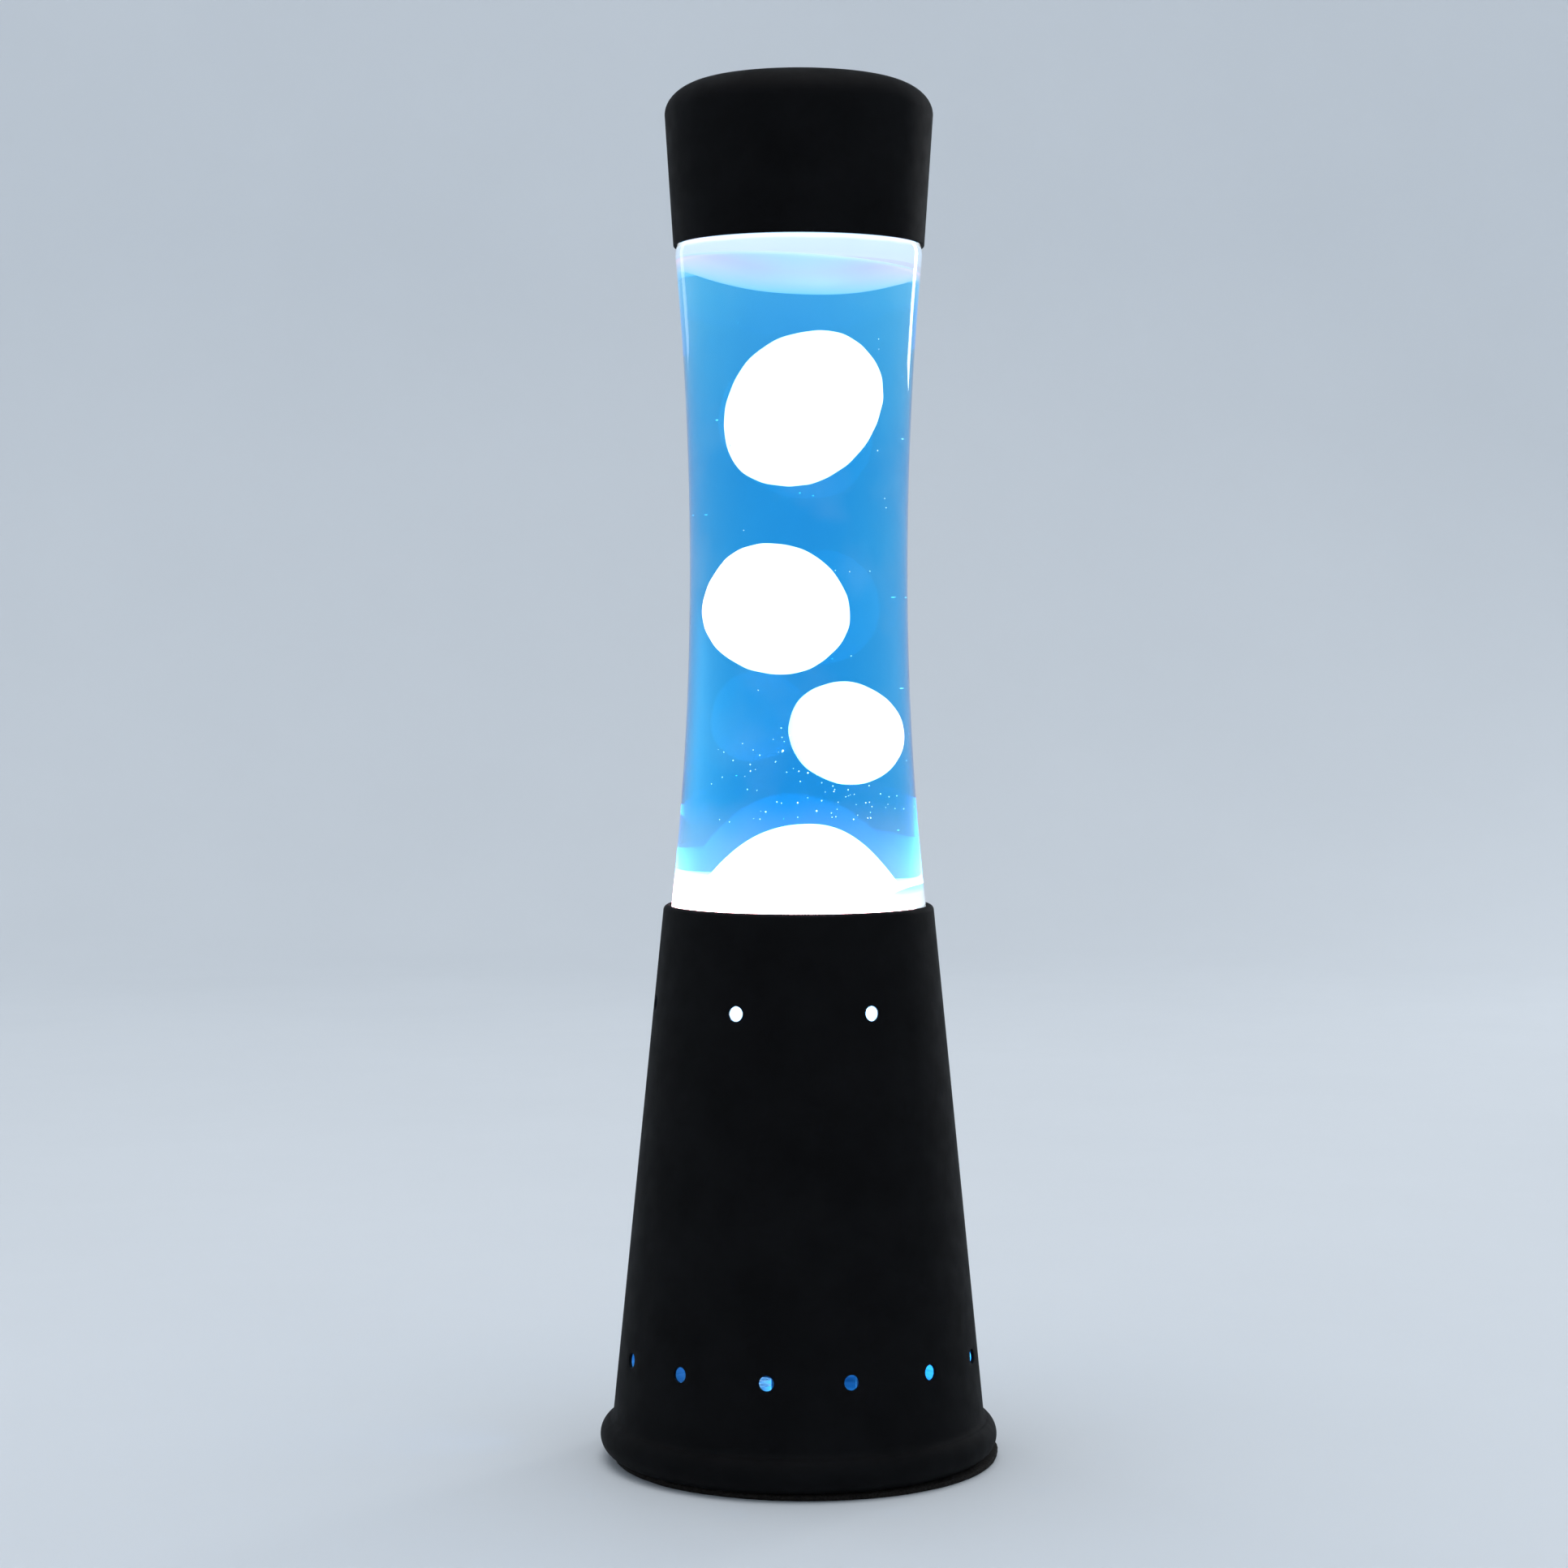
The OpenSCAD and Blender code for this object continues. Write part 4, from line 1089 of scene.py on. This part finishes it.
def foam_foot():
    """Foam ring stuck under the foot a little off centre, with a fuzzy cut edge."""
    draw = random.Random(5)
    high = pad_high.z
    bm = bmesh.new()
    # Share of the way from the inner to the outer edge, and height
    profile = [(0.0, 0.15), (0.02, 0.0), (0.5, 0.0), (0.97, 0.0), (0.99, 0.25), (1.0, 0.7), (0.99, 1.15),
               (0.97, high), (0.5, high), (0.0, high)]
    rings = [[] for _ in profile]
    for i in range(FOOT_SIDES):
        azimuth = 360 * i / FOOT_SIDES
        flap = FLAP_REACH * exp(-((azimuth - FLAP_AZIMUTH) / FLAP_TURN) ** 2)
        outer = PAD_OUTER_R + flap + FOOT_WAVE * noise.noise(around(900, 0, azimuth) * 4)
        inner = pad_inner_edge(azimuth)
        for ring, (share, z) in zip(rings, profile):
            fuzz = draw.uniform(-FOOT_FUZZ, FOOT_FUZZ) if share > 0.98 else 0
            lift = FLAP_LIFT * flap * (share > 0.9) * (z > 0)
            r = inner + (outer - inner) * share + fuzz
            spot = around(r, z + lift, azimuth) / MM + (PAD_SHIFT if share > 0.6 else Vector())
            ring.append(bm.verts.new(spot * MM))
    join_rings(bm, rings, closed=True)
    piece = new_piece("foam_foot", bm, foam_black, "base", sharp=60)
    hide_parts("foot_pad")


# ---------------------------------------------------------------- studio

# Name, place, width, height and power of the soft panels, in metres and watts
PANELS = [
    ("overhead", (0.0, 0.0, 2.3), 2.2, 2.2, 29.0),
    ("left_panel", (-1.15, 1.45, 0.75), 0.3, 0.7, 0.7),
    ("right_panel", (1.15, 1.45, 0.74), 0.3, 0.7, 3.6),
]
CHAMBER_GLOW = ((0, 0, 132), (0.66, 0.86, 1.0), 0.62)
FOOT_GLOW_COLOR = (0.03, 0.38, 1.0)
SKY_COLOR = (0.85, 0.92, 1.0, 1)
SKY_STRENGTH = 0.35
# Turn, radius, height and power of the small lights low in the base
FOOT_GLOWS = [(125, 38, 24, 0.15), (262, 40, 38, 0.05), (0, 30, 70, 0.03)]
FLOOR_R = 1500.0
COVE_R = 600.0
WALL_Z = 2600.0


def studio():
    """Round seamless floor and wall, soft lights and a pale sky."""
    wall_r = FLOOR_R + COVE_R
    sweep = arc(FLOOR_R, COVE_R, COVE_R, -90, 0, 24)
    line = [(0, 0), (300, 0)] + sweep + [(wall_r, WALL_Z)]
    bm = bmesh.new()
    lathe(bm, line, sides=128)
    bmesh.ops.reverse_faces(bm, faces=bm.faces)
    new_piece("studio_cove", bm, studio_paper(), None, sharp=80)
    for panel in PANELS:
        soft_light(*panel)
    lamp_glow("chamber_glow", *CHAMBER_GLOW)
    for turn, r, z, power in FOOT_GLOWS:
        lamp_glow("foot_glow", around(r, z, turn) / MM, FOOT_GLOW_COLOR, power)
    world = bpy.data.worlds.new("sky")
    world.use_nodes = True
    background = world.node_tree.nodes["Background"]
    background.inputs["Color"].default_value = SKY_COLOR
    background.inputs["Strength"].default_value = SKY_STRENGTH
    scene.world = world
    scene.view_settings.view_transform = "Standard"


def soft_light(name, place, width, height, power):
    """A large soft panel that faces the lamp and isn't seen itself."""
    data = bpy.data.lights.new(name, "AREA")
    data.shape = "RECTANGLE"
    data.size = width
    data.size_y = height
    data.energy = power
    light = bpy.data.objects.new(name, data)
    light.location = place
    aim = Vector((0, 0, 0.2)) - Vector(place)
    light.rotation_euler = aim.to_track_quat("-Z", "Y").to_euler()
    light.visible_camera = False
    light.visible_transmission = False
    scene.collection.objects.link(light)


def lamp_glow(name, place, color, power):
    """A small light inside the base, for the glow that the bulb makes there."""
    data = bpy.data.lights.new(name, "POINT")
    data.color = color
    data.energy = power
    data.shadow_soft_size = 0.004
    light = bpy.data.objects.new(name, data)
    light.location = Vector(place) * MM
    light.visible_camera = False
    scene.collection.objects.link(light)


# ---------------------------------------------------------------- build

add_camera()
dress_carried_nodes()
spun_base()
spun_cap()
cap_foam()
blown_bottle()
crimped_crown()
liquid_body()
top_glow_layer()
for blob in BLOBS:
    wax_blob(*blob)
wax_mound()
tiny_bubbles()
reflector_bulb()
foam_foot()
studio()
